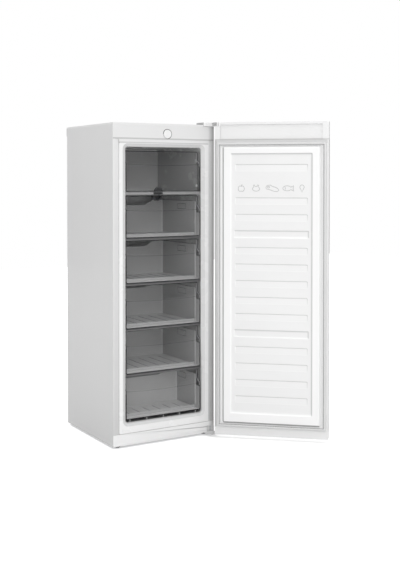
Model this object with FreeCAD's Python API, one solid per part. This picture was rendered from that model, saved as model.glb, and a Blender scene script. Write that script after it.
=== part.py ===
import FreeCAD, Part
import math
import os

# Upright freezer with six compartments, millimetres.
# X runs to the right as seen from the front, Y runs to the rear, Z is up.
# The origin is the centre of the cabinet's footprint on the floor.
# The door is built closed and then turned about its hinge pins to the open rest position.

Vector = FreeCAD.Vector
X_AXIS = Vector(1, 0, 0)
Y_AXIS = Vector(0, 1, 0)
Z_AXIS = Vector(0, 0, 1)
ORIGIN = Vector(0, 0, 0)

# ---------------------------------------------------------------- driving dimensions
# Cabinet envelope
cabinet_width = 595.0
cabinet_depth = 580.0
cabinet_top = 1650.0
foot_clearance = 12.0
sheet = 0.8
plastic_wall = 2.5
seat_gap = 0.3
pin_clearance = 0.05
foam_clearance = 0.1

# Worktop
worktop_thickness = 10.0
worktop_overhang = 12.0
worktop_rear_skirt = 50.0
worktop_rear_radius = 10.0
worktop_corner_radius = 5.0

# Front frame: control panel, top rail, side returns and plinth
fascia_height = 73.0
fascia_depth = 30.0
rail_height = 20.0
plinth_height = 59.0
plinth_sheet = 1.2
return_width = 16.5
land_width = 18.0
land_depth = 4.0
rear_flange = 14.0

# Steel back
bead_spacing = 150.0
bead_width = 26.0
bead_rise = 1.5
bead_end_gap = 90.0
rear_screw_columns = 5
rear_screw_low_gap = 30.0
rear_screw_high_gap = 90.0

# Compartment liner
flange_reach = 40.0
flange_thickness = 2.0
flange_corner = 6.0
flare_reach = 19.0
flare_depth = 10.0
flare_corner = 30.0
opening_bottom = 126.0
opening_drop = 18.0
opening_corner = 14.0
liner_depth = 490.0
hump_setback = 270.0
hump_clearance = 16.1
floor_rib_width = 6.0
floor_rib_side_gap = 29.0
floor_rib_setback = 18.0
floor_rib_rear_gap = 17.0

# Rear machine bay
bay_depth = 240.0
bay_height = 265.0
bay_sheet = 1.0
base_sheet = 1.5

# Compartments
drawer_count = 5
front_gap = 14.0
front_floor_gap = 12.0
flap_headroom = 19.0
flap_height = 212.0
front_side_gap = 3.0
front_setback = 10.0
front_wall = 2.8
cheek_depth = 31.0
cheek_corner = 7.0
recess_setback = 28.0
crease_height = 141.0
crease_dip = 6.0
recess_rise = 31.0
tub_wall = 2.0
tub_floor = 2.5
tub_lift = 2.0
tub_headroom = 30.0
tub_rear_gap = 70.2
low_tub_rear_gap = 12.2
tub_step_drop = 8.0
notch_depth = 28.0
notch_half_width = 100.0
notch_slope_run = 50.0
stop_length = 86.0
stop_height = 29.0
stop_from_front = 158.0
stop_drop = 18.0
stop_thickness = 2.0
floor_bar_height = 1.2
floor_bar_width = 3.0
floor_bar_count = 6
floor_bar_start = 68.0
floor_bar_end = 60.0
tub_sill_setback = 45.0
tub_sill_height = 14.0
grip_lug_radius = 25.0
grip_lug_x = -35.0
grip_lug_depth = 8.0
grip_lug_rim = 5.0
catch_height = 11.5

# Evaporator shelves
shelf_sheet = 1.5
shelf_lip = 8.0
shelf_front = 26.0
shelf_rear_gap = 35.0
shelf_side_gap = 0.3
trim_depth = 14.0
trim_height = 10.5
top_trim_height = 13.0
trim_drop = 1.5
coil_radius = 4.0
coil_run_count = 6
coil_run_spacing = 72.0
coil_front_inset = 84.0
coil_rear_inset = 30.0
coil_riser_gap = 20.0
coil_bend = 14.0

# Condenser tubes foamed in behind the side panels
condenser_radius = 2.5
condenser_run_count = 6
condenser_run_spacing = 80.0
condenser_bottom = 330.0
condenser_top_gap = 140.0
condenser_lead = 50.0
condenser_header = 44.0

# Thermostat
knob_x = 16.0
knob_drop = 53.0
knob_recess_radius = 26.0
knob_recess_depth = 5.0
knob_radius = 22.5
knob_gap = 0.8
knob_proud = 1.5
pointer_height = 2.5
pointer_length = 36.0
shaft_radius = 3.0
shaft_length = 16.0
thermostat_width = 44.0
thermostat_height = 34.0
thermostat_depth = 21.0

# Flap
flap_ear_inset = 8.0
flap_ear_width = 3.0
flap_ear_length = 20.0
flap_pin_radius = 3.0
flap_pin_lift = 161.0
flap_pin_depth = 50.0
flap_stop_lift = 31.0
pivot_radius = 7.5

# Feet
foot_inset_x = 42.0
foot_inset_y = 40.0
foot_pad_radius = 17.0
foot_pad_height = 7.0
foot_stem_radius = 5.0
foot_stem_top = 40.0
nut_radius = 9.0
nut_height = 9.0
rear_foot_length = 44.0
rear_foot_width = 30.0

# Compressor set
compressor_x = 90.0
compressor_radius = 72.0
compressor_height = 158.0
compressor_dome = 46.0
compressor_seam = 5.0
compressor_foot_spacing_x = 100.0
compressor_foot_spacing_y = 140.0
compressor_plate = 3.0
grommet_radius = 12.0
grommet_height = 14.0
grommet_bore = 4.0
mount_pin_radius = 3.9
terminal_width = 42.0
terminal_depth = 64.0
terminal_height = 70.0
gland_radius = 7.0
gland_bore = 4.0
gland_length = 10.0
gland_inset = 14.0
gland_lift = 16.0
terminal_lift = 24.0
terminal_bite = 10.0
stub_length = 20.0
stub_offset = 20.0
pipe_radius = 3.2
pipe_bend = 18.0
suction_reach = 46.0
discharge_rise = 26.0
discharge_reach = 70.0
discharge_setback = 40.0
discharge_bend = 11.0
drier_x = -110.0
drier_lift = 90.0
drier_loop_drop = 30.0
drier_loop_reach = 60.0
drier_radius = 9.5
drier_length = 92.0
drier_neck = 12.0

# Door
door_gap = 12.0
door_thickness = 50.0
door_bottom = 20.0
door_rise = 11.0
door_edge_radius = 4.0
door_end_radius = 3.0
bottom_cap_height = 42.0
door_open_angle = 138.0
pin_inset = 8.0
pin_depth = 39.0
inner_flange = 18.0
hinge_notch_width = 28.0
hinge_notch_depth = 20.0
cap_block_width = 34.0
cap_recess_depth = 8.0
cap_lip_height = 13.0
liner_sheet = 1.5
liner_margin = 9.0
rim_margin = 42.0
rim_foot = 24.0
rim_head = 32.0
rim_slope = 9.0
rim_height = 9.0
field_inset_side = 42.0
field_inset_top = 37.0
field_inset_bottom = 52.0
field_depth = 4.0
rim_wall = 1.8
rib_height = 35.0
rib_side_inset = 25.0
rib_depth = 1.5
rib_top_offset = 58.0
rib_bottom_offset = 57.4
rib_total = 15
blank_rib = 1
bold_ribs = (4, 10)
bold_extra = 7.0
bold_rise = 3.0
bold_depth = 2.8
gasket_width = 20.0
gasket_side_gap = 10.5
gasket_end_gap = 1.0
gasket_base = 2.0
gasket_neck = 12.0
gasket_head = 5.0
gasket_head_width = 16.0
magnet_width = 9.0
magnet_height = 2.4

# Hinges
pin_radius = 3.0
bush_wall = 2.0
bush_length = 16.0
bush_collar_radius = 7.0
bush_collar = 1.7
boss_wall = 2.8
hinge_plate = 3.0
hinge_plate_width = 62.0
hinge_plate_rear = 66.0
hinge_arm_radius = 6.5
hinge_cover_height = 14.0
hinge_cover_wall = 2.0
hinge_cover_drop = 6.0
hinge_cover_gap = 0.5
top_screw_inset = 52.0
top_screw_step = 21.0
top_screw_setback = 26.0
top_screw_stagger = 26.0
lower_plate_gap = 2.0
lower_plate_width = 69.0
lower_plate_front = 66.0
lower_plate_slant = 20.0
lower_plate_corner = 10.0
lower_leg_inset = 8.0
lower_leg_width = 34.0
lower_leg_top = 50.0
low_screw_drop = 8.0
low_screw_step = 14.0
screw_head_radius = 4.5
screw_head_height = 2.2
screw_shank_radius = 2.0
screw_length = 9.0

# ---------------------------------------------------------------- derived places
half_width = cabinet_width / 2
front_y = -cabinet_depth / 2
rear_y = cabinet_depth / 2
inside_half_width = half_width - sheet
body_bottom = foot_clearance
panel_top = cabinet_top - worktop_thickness
fascia_bottom = panel_top - fascia_height
plinth_top = body_bottom + plinth_height
flange_half_width = half_width - return_width - land_width
flange_top = fascia_bottom - rail_height
flange_bottom = plinth_top + 2
opening_half_width = flange_half_width - flange_reach
opening_top = flange_top - opening_drop
floor_rib_spacing = (opening_half_width - floor_rib_side_gap) / 2
liner_rear_y = front_y + liner_depth
hump_front_y = front_y + hump_setback
foam_bottom = body_bottom + base_sheet
bay_front_y = rear_y - bay_depth
bay_top = foam_bottom + bay_height
front_face_y = front_y + front_setback
front_half_width = opening_half_width - front_side_gap
flap_bottom = opening_top - flap_headroom - flap_height
lowest_front_bottom = opening_bottom + front_floor_gap
shelf_stack = flap_bottom - lowest_front_bottom - 2 * (top_trim_height - trim_height)
drawer_pitch = shelf_stack / drawer_count
front_height = drawer_pitch - front_gap
lowest_shelf_top = lowest_front_bottom + drawer_pitch + tub_lift - seat_gap
hump_top = lowest_shelf_top - shelf_sheet - 2 * coil_radius - foam_clearance - hump_clearance
tub_height = front_height - tub_headroom - tub_lift
tub_rear_y = liner_rear_y - tub_rear_gap
low_tub_rear_y = hump_front_y - low_tub_rear_gap
shelf_front_y = front_y + shelf_front
shelf_rear_y = liner_rear_y - shelf_rear_gap
condenser_top = panel_top - condenser_top_gap
flap_pin_y = front_y + flap_pin_depth
flap_pin_z = flap_bottom + flap_pin_lift
knob_z = cabinet_top - knob_drop
door_inner_y = front_y - door_gap
door_outer_y = door_inner_y - door_thickness
door_pin_x = half_width - pin_inset
door_pin_y = door_inner_y - pin_depth
hinge_plate_right = door_pin_x + hinge_arm_radius
hinge_plate_left = hinge_plate_right - hinge_plate_width
door_top = cabinet_top + door_rise
door_cap_bottom = fascia_bottom
door_low_cap_top = door_bottom + bottom_cap_height
notch_floor = door_top - hinge_notch_depth


# ---------------------------------------------------------------- helpers
def box(x0, x1, y0, y1, z0, z1):
    """Box between two corners."""
    return Part.makeBox(x1 - x0, y1 - y0, z1 - z0, Vector(x0, y0, z0))


def cylinder(centre, axis, radius, length):
    """Cylinder that starts at centre and runs along axis."""
    return Part.makeCylinder(radius, length, centre, axis)


def fuse(shapes):
    """One clean solid from touching or overlapping shapes."""
    first = shapes[0]
    return first.multiFuse(shapes[1:]).removeSplitter() if len(shapes) > 1 else first


def mirrored(shape):
    """The shape on the other side of the cabinet's middle plane."""
    return shape.mirror(ORIGIN, X_AXIS)


def both_sides(shape):
    """The shape and its mirror image, as separate solids."""
    return Part.makeCompound([shape, mirrored(shape)])


def rectangle_wire(x0, x1, z0, z1, radius, y):
    """Rounded rectangle that stands in the plane at y."""
    r = radius
    s = r * (1 - math.sqrt(0.5))
    edges = [
        Part.makeLine(Vector(x0 + r, y, z0), Vector(x1 - r, y, z0)),
        Part.Arc(Vector(x1 - r, y, z0), Vector(x1 - s, y, z0 + s), Vector(x1, y, z0 + r)).toShape(),
        Part.makeLine(Vector(x1, y, z0 + r), Vector(x1, y, z1 - r)),
        Part.Arc(Vector(x1, y, z1 - r), Vector(x1 - s, y, z1 - s), Vector(x1 - r, y, z1)).toShape(),
        Part.makeLine(Vector(x1 - r, y, z1), Vector(x0 + r, y, z1)),
        Part.Arc(Vector(x0 + r, y, z1), Vector(x0 + s, y, z1 - s), Vector(x0, y, z1 - r)).toShape(),
        Part.makeLine(Vector(x0, y, z1 - r), Vector(x0, y, z0 + r)),
        Part.Arc(Vector(x0, y, z0 + r), Vector(x0 + s, y, z0 + s), Vector(x0 + r, y, z0)).toShape(),
    ]
    return Part.Wire(edges)


def rounded_block(x0, x1, z0, z1, radius, y0, y1):
    """Block with rounded corners in the front view."""
    face = Part.Face(rectangle_wire(x0, x1, z0, z1, radius, y0))
    return face.extrude(Vector(0, y1 - y0, 0))


def tapered_block(outer, inner, y0, y1):
    """Block that goes from one rounded rectangle (x0, x1, z0, z1, radius) to another."""
    return Part.makeLoft([rectangle_wire(*outer, y0), rectangle_wire(*inner, y1)], True, True)


def ring(x0, x1, z0, z1, width, y0, y1):
    """Rectangular frame of square bars."""
    outer = box(x0, x1, y0, y1, z0, z1)
    return outer.cut(box(x0 + width, x1 - width, y0 - 1, y1 + 1, z0 + width, z1 - width))


def plan_profile(points, z0, z1):
    """Outline given in (x, y), drawn up from z0 to z1."""
    wire = Part.makePolygon([Vector(x, y, z0) for x, y in points + points[:1]])
    return Part.Face(wire).extrude(Vector(0, 0, z1 - z0))


def front_profile(points, y0, y1):
    """Outline given in (x, z), drawn back from y0 to y1."""
    wire = Part.makePolygon([Vector(x, y0, z) for x, z in points + points[:1]])
    return Part.Face(wire).extrude(Vector(0, y1 - y0, 0))


def turned(points, centre):
    """Solid of revolution about the vertical through centre, from (radius, z) points."""
    wire = Part.makePolygon([centre + Vector(r, 0, z) for r, z in points + points[:1]])
    return Part.Face(wire).revolve(centre, Z_AXIS, 360)


def fillet_upright(shape, radius, x_far, y_far):
    """Round the upright edges that lie at +-x_far on the plane y_far."""
    picked = []
    for edge in shape.Edges:
        first = edge.Vertexes[0].Point
        last = edge.Vertexes[-1].Point
        upright = abs(first.x - last.x) < 0.01 and abs(first.y - last.y) < 0.01
        if upright and abs(abs(first.x) - x_far) < 0.01 and abs(first.y - y_far) < 0.01:
            picked.append(edge)
    return shape.makeFillet(radius, picked)


def tube(points, radius, bend):
    """Bent tube along straight runs joined by arcs of one bend radius."""
    edges = []
    start = points[0]
    for before, corner, after in zip(points, points[1:], points[2:]):
        way_in = (corner - before).normalize()
        way_out = (after - corner).normalize()
        half_turn = way_in.getAngle(way_out) / 2
        cut = bend * math.tan(half_turn)
        arc_start = corner - way_in * cut
        arc_end = corner + way_out * cut
        to_centre = (way_out - way_in).normalize()
        centre = corner + to_centre * (bend / math.cos(half_turn))
        middle = centre - to_centre * bend
        if (arc_start - start).Length > 1e-6:
            edges.append(Part.makeLine(start, arc_start))
        edges.append(Part.Arc(arc_start, middle, arc_end).toShape())
        start = arc_end
    edges.append(Part.makeLine(start, points[-1]))
    path = Part.Wire(edges)
    first_way = (points[1] - points[0]).normalize()
    section = Part.Wire([Part.makeCircle(radius, points[0], first_way)])
    return path.makePipeShell([section], True, False)


def screw(place, axis):
    """Pan-head screw: the head stands on place and the shank runs the other way."""
    head = cylinder(place, axis, screw_head_radius, screw_head_height)
    shank = cylinder(place, axis * -1, screw_shank_radius, screw_length)
    slot = screw_head_radius * 1.2
    rounded = head.makeFillet(screw_head_height * 0.5, [head.Edges[0]])
    centre = place + axis * screw_head_height
    across = Part.makeBox(slot, slot / 5, slot / 5, Vector(-slot / 2, -slot / 10, -slot / 10))
    across.Placement = FreeCAD.Placement(centre, FreeCAD.Rotation(Z_AXIS, axis))
    return fuse([rounded, shank]).cut(across)


def screw_hole(place, axis):
    """Clearance hole through whatever the shank passes."""
    radius = screw_shank_radius + pin_clearance
    return cylinder(place + axis * (screw_length * 0.5), axis * -1, radius, screw_length * 2)


# ---------------------------------------------------------------- screws' places
rear_screw_x = half_width - sheet - rear_flange / 2
rear_screw_low = bay_top + rear_screw_low_gap
rear_screw_step = (panel_top - rear_screw_high_gap - rear_screw_low) / (rear_screw_columns - 1)
rear_screw_places = [
    Vector(side * rear_screw_x, rear_y, rear_screw_low + index * rear_screw_step)
    for side in (-1, 1)
    for index in range(rear_screw_columns)
]
top_screw_places = [
    Vector(half_width - top_screw_inset + top_screw_step * index,
           front_y + top_screw_setback + top_screw_stagger * (index % 2), cabinet_top + hinge_plate)
    for index in range(3)
]
low_screw_places = [
    Vector(half_width - lower_leg_inset - lower_leg_width / 2, front_y - hinge_plate,
           lower_leg_top - low_screw_drop - low_screw_step * index)
    for index in range(2)
]


# ---------------------------------------------------------------- cabinet shell
def left_side_panel():
    """Steel side with its front return, the stepped land beside it and a rear flange."""
    low = body_bottom
    flange_low = plinth_top
    flange_high = fascia_bottom
    edge = -half_width + return_width
    land_y = front_y + land_depth
    pieces = [
        box(-half_width, -half_width + sheet, front_y, rear_y - sheet, low, panel_top),
        box(-half_width, edge, front_y, front_y + sheet, flange_low, flange_high),
        box(edge - sheet, edge, front_y, land_y + sheet, flange_low, flange_high),
        box(edge - sheet, edge + land_width, land_y, land_y + sheet, flange_low, flange_high),
        box(-half_width, -half_width + rear_flange + sheet, rear_y - 2 * sheet, rear_y - sheet,
            low, panel_top),
    ]
    panel = fuse(pieces)
    for place in rear_screw_places:
        panel = panel.cut(screw_hole(place, Y_AXIS))
    return panel


def rear_panel():
    """Flat steel back with three pressed stiffening beads, above the machine bay."""
    low = bay_top
    panel = box(-half_width, half_width, rear_y - sheet, rear_y, low, panel_top)
    beads = []
    for bead_x in (-bead_spacing, 0.0, bead_spacing):
        bead = rounded_block(bead_x - bead_width / 2, bead_x + bead_width / 2, low + bead_end_gap,
                             panel_top - bead_end_gap, bead_width / 2 - 0.5,
                             rear_y - sheet / 8, rear_y + bead_rise)
        beads.append(bead)
    panel = fuse([panel] + beads)
    for place in rear_screw_places:
        panel = panel.cut(screw_hole(place, Y_AXIS))
    return panel


def worktop():
    """Moulded top that closes the cabinet, with a skirt hanging behind the back."""
    back = rear_y + worktop_overhang
    top = box(-half_width, half_width, front_y, back, panel_top, cabinet_top)
    skirt = box(-half_width, half_width, rear_y, back, cabinet_top - worktop_rear_skirt, cabinet_top)
    shell = fuse([top, skirt])
    shell = fillet_upright(shell, worktop_corner_radius, half_width, back)
    ridge = [e for e in shell.Edges
             if all(abs(v.Y - back) < 0.01 and abs(v.Z - cabinet_top) < 0.01 for v in e.Vertexes)]
    shell = shell.makeFillet(worktop_rear_radius - 0.5, ridge)
    wall = plastic_wall
    inner = half_width - wall
    shell = shell.cut(box(-inner, inner, front_y + wall, rear_y, panel_top - 1, cabinet_top - wall))
    low = cabinet_top - worktop_rear_skirt
    shell = shell.cut(box(-inner, inner, rear_y + 2, back - wall,
                          low - 1, cabinet_top - worktop_rear_radius))
    for place in top_screw_places:
        shell = shell.cut(screw_hole(place, Z_AXIS))
    return shell


def control_panel():
    """Fascia above the opening, hollow behind, with a round dish for the thermostat dial."""
    edge = inside_half_width
    wall = plastic_wall
    deep = front_y + fascia_depth
    shell = box(-edge, edge, front_y, deep, fascia_bottom, panel_top)
    hollow = box(-edge + wall, edge - wall, front_y + wall, deep + 1,
                 fascia_bottom + wall, panel_top - wall)
    shell = shell.cut(hollow)
    dish = Vector(knob_x, front_y, knob_z)
    cup = cylinder(dish, Y_AXIS, knob_recess_radius + wall, knob_recess_depth + wall)
    band = box(-half_width, half_width, front_y, deep, fascia_bottom, panel_top)
    shell = fuse([shell, cup.common(band)])
    shell = shell.cut(cylinder(dish - Y_AXIS, Y_AXIS, knob_recess_radius, knob_recess_depth + 1))
    return shell.cut(cylinder(dish, Y_AXIS, shaft_radius + pin_clearance, fascia_depth))


def top_rail():
    """Folded steel rail that shows as a strip between the fascia and the liner's flange."""
    edge = flange_half_width
    face = box(-edge, edge, front_y, front_y + sheet, flange_top, fascia_bottom)
    fold = box(-edge, edge, front_y, front_y + fascia_depth, fascia_bottom - sheet, fascia_bottom)
    return fuse([face, fold])


def plinth():
    """Plain kick panel under the opening."""
    panel = box(-inside_half_width, inside_half_width, front_y, front_y + plinth_sheet,
                body_bottom, plinth_top)
    ledge = box(-inside_half_width, inside_half_width, front_y, front_y + land_depth,
                plinth_top - plinth_sheet, plinth_top)
    panel = fuse([panel, ledge])
    for place in low_screw_places:
        panel = panel.cut(screw_hole(place, Y_AXIS * -1))
    return panel


def foot_places():
    """Axes of the two levelling feet."""
    x = half_width - foot_inset_x
    return [Vector(-x, front_y + foot_inset_y, 0), Vector(x, front_y + foot_inset_y, 0)]


def grommet_places():
    """Axes of the four compressor mounts."""
    centre_y = rear_y - bay_depth / 2
    return [Vector(compressor_x + sx * compressor_foot_spacing_x / 2,
                   centre_y + sy * compressor_foot_spacing_y / 2, foam_bottom)
            for sx in (-1, 1) for sy in (-1, 1)]


def base_plate():
    """Steel floor of the cabinet with a nut for each levelling foot."""
    y0 = front_y + plinth_sheet
    plate = box(-inside_half_width, inside_half_width, y0, rear_y - 2 * sheet, body_bottom, foam_bottom)
    lip = box(-inside_half_width, inside_half_width, rear_y - 2 * sheet - base_sheet,
              rear_y - 2 * sheet, body_bottom, foam_bottom + 16)
    nuts = [cylinder(p + Z_AXIS * body_bottom, Z_AXIS, nut_radius, base_sheet + nut_height)
            for p in foot_places()]
    plate = fuse([plate, lip] + nuts)
    for place in foot_places():
        bore = foot_stem_radius + pin_clearance
        plate = plate.cut(cylinder(place, Z_AXIS, bore, foam_bottom + foot_stem_top))
    for place in grommet_places():
        plate = plate.cut(cylinder(place - Z_AXIS * 5, Z_AXIS, mount_pin_radius + pin_clearance, 10))
    return plate


def machine_bay_sheet():
    """Bent steel sheet that walls and roofs the machine bay."""
    edge = inside_half_width
    wall = box(-edge, edge, bay_front_y, bay_front_y + bay_sheet, foam_bottom, bay_top)
    roof = box(-edge, edge, bay_front_y, rear_y - 2 * sheet, bay_top - bay_sheet, bay_top)
    return fuse([wall, roof])


# ---------------------------------------------------------------- liner and insulation
def cavity(margin):
    """Inside space of the liner, grown outwards by margin for the outer shape."""
    w = opening_half_width + margin
    low = opening_bottom - margin
    high = opening_top + margin
    start = front_y + flare_depth
    space = rounded_block(-w, w, low, high, opening_corner + margin, start, liner_rear_y + margin)
    step = box(-w - 1, w + 1, hump_front_y + margin, liner_rear_y + margin + 1,
               low - 1, hump_top - margin)
    return space.cut(step)


def flare(margin):
    """Tapered mouth between the flange and the opening."""
    wide = flare_reach + margin
    narrow = margin
    outer = (-opening_half_width - wide, opening_half_width + wide,
             opening_bottom - wide, min(opening_top + wide, flange_top - 1), flare_corner)
    inner = (-opening_half_width - narrow, opening_half_width + narrow,
             opening_bottom - narrow, opening_top + narrow, opening_corner + margin)
    return tapered_block(outer, inner, front_y, front_y + flare_depth)


def liner_envelope():
    """Everything inside the liner's foam side."""
    flange = rounded_block(-flange_half_width, flange_half_width, flange_bottom, flange_top,
                           flange_corner, front_y, front_y + flange_thickness)
    return fuse([flange, flare(plastic_wall), cavity(plastic_wall)])


def floor_rib_places():
    """Runner ribs on the liner's floor, spaced evenly about the middle."""
    return [index * floor_rib_spacing for index in (-2, -1, 0, 1, 2)]


def inner_liner():
    """One-piece white liner: flange, flared mouth, cavity with the compressor step."""
    shell = liner_envelope().cut(flare(0)).cut(cavity(0))
    rim_y = front_y + land_depth
    rim = rounded_block(-flange_half_width, flange_half_width, flange_bottom, flange_top,
                        flange_corner, front_y, rim_y)
    core = rounded_block(-flange_half_width + 2, flange_half_width - 2, flange_bottom + 2,
                         flange_top - 2, flange_corner - 2, front_y - 1, rim_y + 1)
    ribs = []
    rib_top = lowest_front_bottom + tub_lift - seat_gap
    for rib_x in floor_rib_places():
        ribs.append(box(rib_x - floor_rib_width / 2, rib_x + floor_rib_width / 2,
                        front_y + floor_rib_setback, hump_front_y - floor_rib_rear_gap,
                        opening_bottom - 1, rib_top))
    return fuse([shell, rim.cut(core)] + ribs)


def cabinet_foam():
    """Insulation that fills the space between the liner and the outer panels."""
    edge = inside_half_width
    y0 = front_y + land_depth + sheet
    y1 = rear_y - 2 * sheet
    block = box(-edge, edge, y0, y1, foam_bottom, panel_top)
    crown = box(-edge, edge, rear_y - 3 * sheet, rear_y - sheet, bay_top, panel_top)
    middle = box(-edge + rear_flange, edge - rear_flange, y1 - 1, rear_y - sheet, bay_top, panel_top)
    block = fuse([block, middle]).cut(crown.cut(middle))
    cuts = [
        box(-edge - 1, edge + 1, y0 - 1, front_y + fascia_depth, flange_top, panel_top + 1),
        box(-edge - 1, edge + 1, bay_front_y, rear_y + 1, foam_bottom - 1, bay_top),
        liner_envelope(),
    ]
    for place in foot_places():
        cuts.append(cylinder(place, Z_AXIS, nut_radius, foam_bottom + nut_height))
        cuts.append(cylinder(place, Z_AXIS, foot_stem_radius + 2, foot_stem_top + 4))
    room = condenser_radius + foam_clearance
    deep = 2 * room
    first = -(condenser_run_count - 1) / 2 * condenser_run_spacing
    last = -first
    for side in (-1, 1):
        inner = side * (edge - deep)
        outer = side * edge
        x0, x1 = min(inner, outer), max(inner, outer)
        for index in range(condenser_run_count):
            y = first + index * condenser_run_spacing
            low = condenser_bottom - condenser_lead - 2 * condenser_radius
            cuts.append(box(x0, x1, y - room, y + room, low, condenser_top))
        wide = 1.5 * condenser_radius
        cuts.append(box(x0, x1, first - wide, last + wide,
                        condenser_bottom - wide, condenser_bottom + condenser_header))
        cuts.append(box(x0, x1, first - wide, last + wide,
                        condenser_top - condenser_header, condenser_top + wide))
    cuts += [screw_hole(place, Z_AXIS) for place in top_screw_places]
    cuts += [screw_hole(place, Y_AXIS * -1) for place in low_screw_places]
    cuts += [screw_hole(place, Y_AXIS) for place in rear_screw_places]
    return block.cut(cuts[0]).cut(cuts[1]).cut(Part.makeCompound(cuts[2:3])).cut(
        Part.makeCompound(cuts[3:]))


def condenser_coil():
    """Warm tubes that lie against each side panel inside the insulation."""
    x = inside_half_width - condenser_radius - foam_clearance
    first = -(condenser_run_count - 1) / 2 * condenser_run_spacing
    points = []
    for index in range(condenser_run_count):
        y = first + index * condenser_run_spacing
        ends = [condenser_bottom, condenser_top]
        if index % 2:
            ends.reverse()
        points += [Vector(x, y, z) for z in ends]
    points[0] = Vector(x, first, condenser_bottom - condenser_lead)
    points[-1] = Vector(x, -first, condenser_bottom - condenser_lead)
    coil = tube(points, condenser_radius, condenser_run_spacing * 0.49)
    return both_sides(coil)


# ---------------------------------------------------------------- evaporator
def shelf_levels():
    """Heights of the shelves' upper faces, from the top one down."""
    drawers = [front_bottom(index) + tub_lift - seat_gap for index in range(drawer_count - 1)]
    return [flap_bottom + tub_lift - seat_gap] + drawers


def front_bottom(index):
    """Lower edge of a drawer's front; drawer 0 is the top one."""
    return lowest_front_bottom + drawer_pitch * (drawer_count - 1 - index)


def shelf(top):
    """Flat freezing plate with a folded front lip."""
    x = opening_half_width - shelf_side_gap
    y0 = shelf_front_y
    plate = box(-x, x, y0, shelf_rear_y, top - shelf_sheet, top)
    lip = box(-x, x, y0, y0 + shelf_sheet, top - shelf_lip, top)
    return fuse([plate, lip])


def shelf_trims():
    """White strips that cap the front of each shelf."""
    strips = []
    x = opening_half_width - shelf_side_gap
    y1 = shelf_front_y
    for index, top in enumerate(shelf_levels()):
        high = top - tub_lift + seat_gap - trim_drop
        height = top_trim_height if index == 0 else trim_height
        strip = box(-x, x, y1 - trim_depth, y1, high - height, high)
        edges = [e for e in strip.Edges
                 if all(abs(v.Y - (y1 - trim_depth)) < 0.01 for v in e.Vertexes)
                 and abs(e.Vertexes[0].Z - e.Vertexes[-1].Z) < 0.01]
        strips.append(strip.makeFillet(2.0, edges))
    return Part.makeCompound(strips)


def coil_levels():
    """Heights of the tube's axis under each shelf, from the top one down."""
    return [top - shelf_sheet - coil_radius - foam_clearance for top in shelf_levels()]


def coil_side(number):
    """Side, -1 or +1, on which the winding under a shelf begins."""
    return -1 if number % 2 == 0 else 1


def evaporator_coil():
    """Flat winding under each shelf; the first and the last run on into the rear wall."""
    solids = []
    levels = coil_levels()
    reach = (coil_run_count - 1) / 2 * coil_run_spacing
    near = shelf_front_y + coil_front_inset
    far = shelf_rear_y - coil_rear_inset
    for number, z in enumerate(levels):
        side = coil_side(number)
        begin = liner_rear_y - seat_gap if number == 0 else shelf_rear_y
        end = liner_rear_y - seat_gap if number == len(levels) - 1 else shelf_rear_y
        points = [Vector(side * reach, begin, z)]
        for index in range(coil_run_count):
            x = side * (reach - index * coil_run_spacing)
            turns = (far, near) if index % 2 == 0 else (near, far)
            points += [Vector(x, turn, z) for turn in turns]
        points.pop(1)
        points[-1] = Vector(-side * reach, end, z)
        solids.append(tube(points, coil_radius, coil_bend))
    return Part.makeCompound(solids)


def evaporator_risers():
    """Tubes behind the drawers that join each winding to the next one down."""
    solids = []
    levels = coil_levels()
    reach = (coil_run_count - 1) / 2 * coil_run_spacing
    y0 = shelf_rear_y
    y1 = liner_rear_y - coil_riser_gap
    for number, (high, low) in enumerate(zip(levels, levels[1:])):
        x = -coil_side(number) * reach
        points = [Vector(x, y0, high), Vector(x, y1, high), Vector(x, y1, low), Vector(x, y0, low)]
        solids.append(tube(points, coil_radius, coil_bend))
    return Part.makeCompound(solids)


# ---------------------------------------------------------------- drawers and flap
def front_section(x, low, height, dip):
    """Closed section of a compartment front in the plane at x."""
    y0 = front_face_y
    y1 = y0 + recess_setback
    crease = low + crease_height - dip
    shoulder = crease + recess_rise
    reach = recess_rise * 0.45

    def face_edges(shift):
        bend = Part.BezierCurve()
        bend.setPoles([Vector(x, y0 + shift, crease), Vector(x, y0 + shift + 3, crease + reach),
                       Vector(x, y1 + shift, shoulder - reach), Vector(x, y1 + shift, shoulder)])
        return [Part.makeLine(Vector(x, y0 + shift, low), Vector(x, y0 + shift, crease)),
                bend.toShape(),
                Part.makeLine(Vector(x, y1 + shift, shoulder), Vector(x, y1 + shift, low + height))]

    outside = face_edges(0)
    inside = face_edges(front_wall)
    foot = Part.makeLine(Vector(x, y0, low), Vector(x, y0 + front_wall, low))
    head = Part.makeLine(Vector(x, y1, low + height), Vector(x, y1 + front_wall, low + height))
    return Part.Wire(Part.__sortEdges__(outside + [head] + inside + [foot]))


def front_panel(low, height):
    """Clear front: flat below, set back above a gently sagging crease, closed at the ends."""
    inner = front_half_width - front_wall
    sections = []
    for share in (-1.0, -0.5, 0.0, 0.5, 1.0):
        dip = crease_dip * (1 - share * share)
        sections.append(front_section(share * inner, low, height, dip))
    middle = Part.makeLoft(sections, True, False)
    cheeks = []
    for x0 in (-front_half_width, inner):
        cheeks.append(box(x0, x0 + front_wall, front_face_y, front_face_y + cheek_depth,
                          low, low + height))
    panel = fuse([middle] + cheeks)
    mask = rounded_block(-front_half_width, front_half_width, low, low + height, cheek_corner,
                         front_face_y - 1, front_face_y + cheek_depth + 1)
    step = box(-front_half_width - 1, front_half_width + 1, front_face_y + front_wall,
               front_face_y + cheek_depth + 1, low - 1, low + tub_lift)
    return panel.common(mask).cut(step).removeSplitter()


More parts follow.
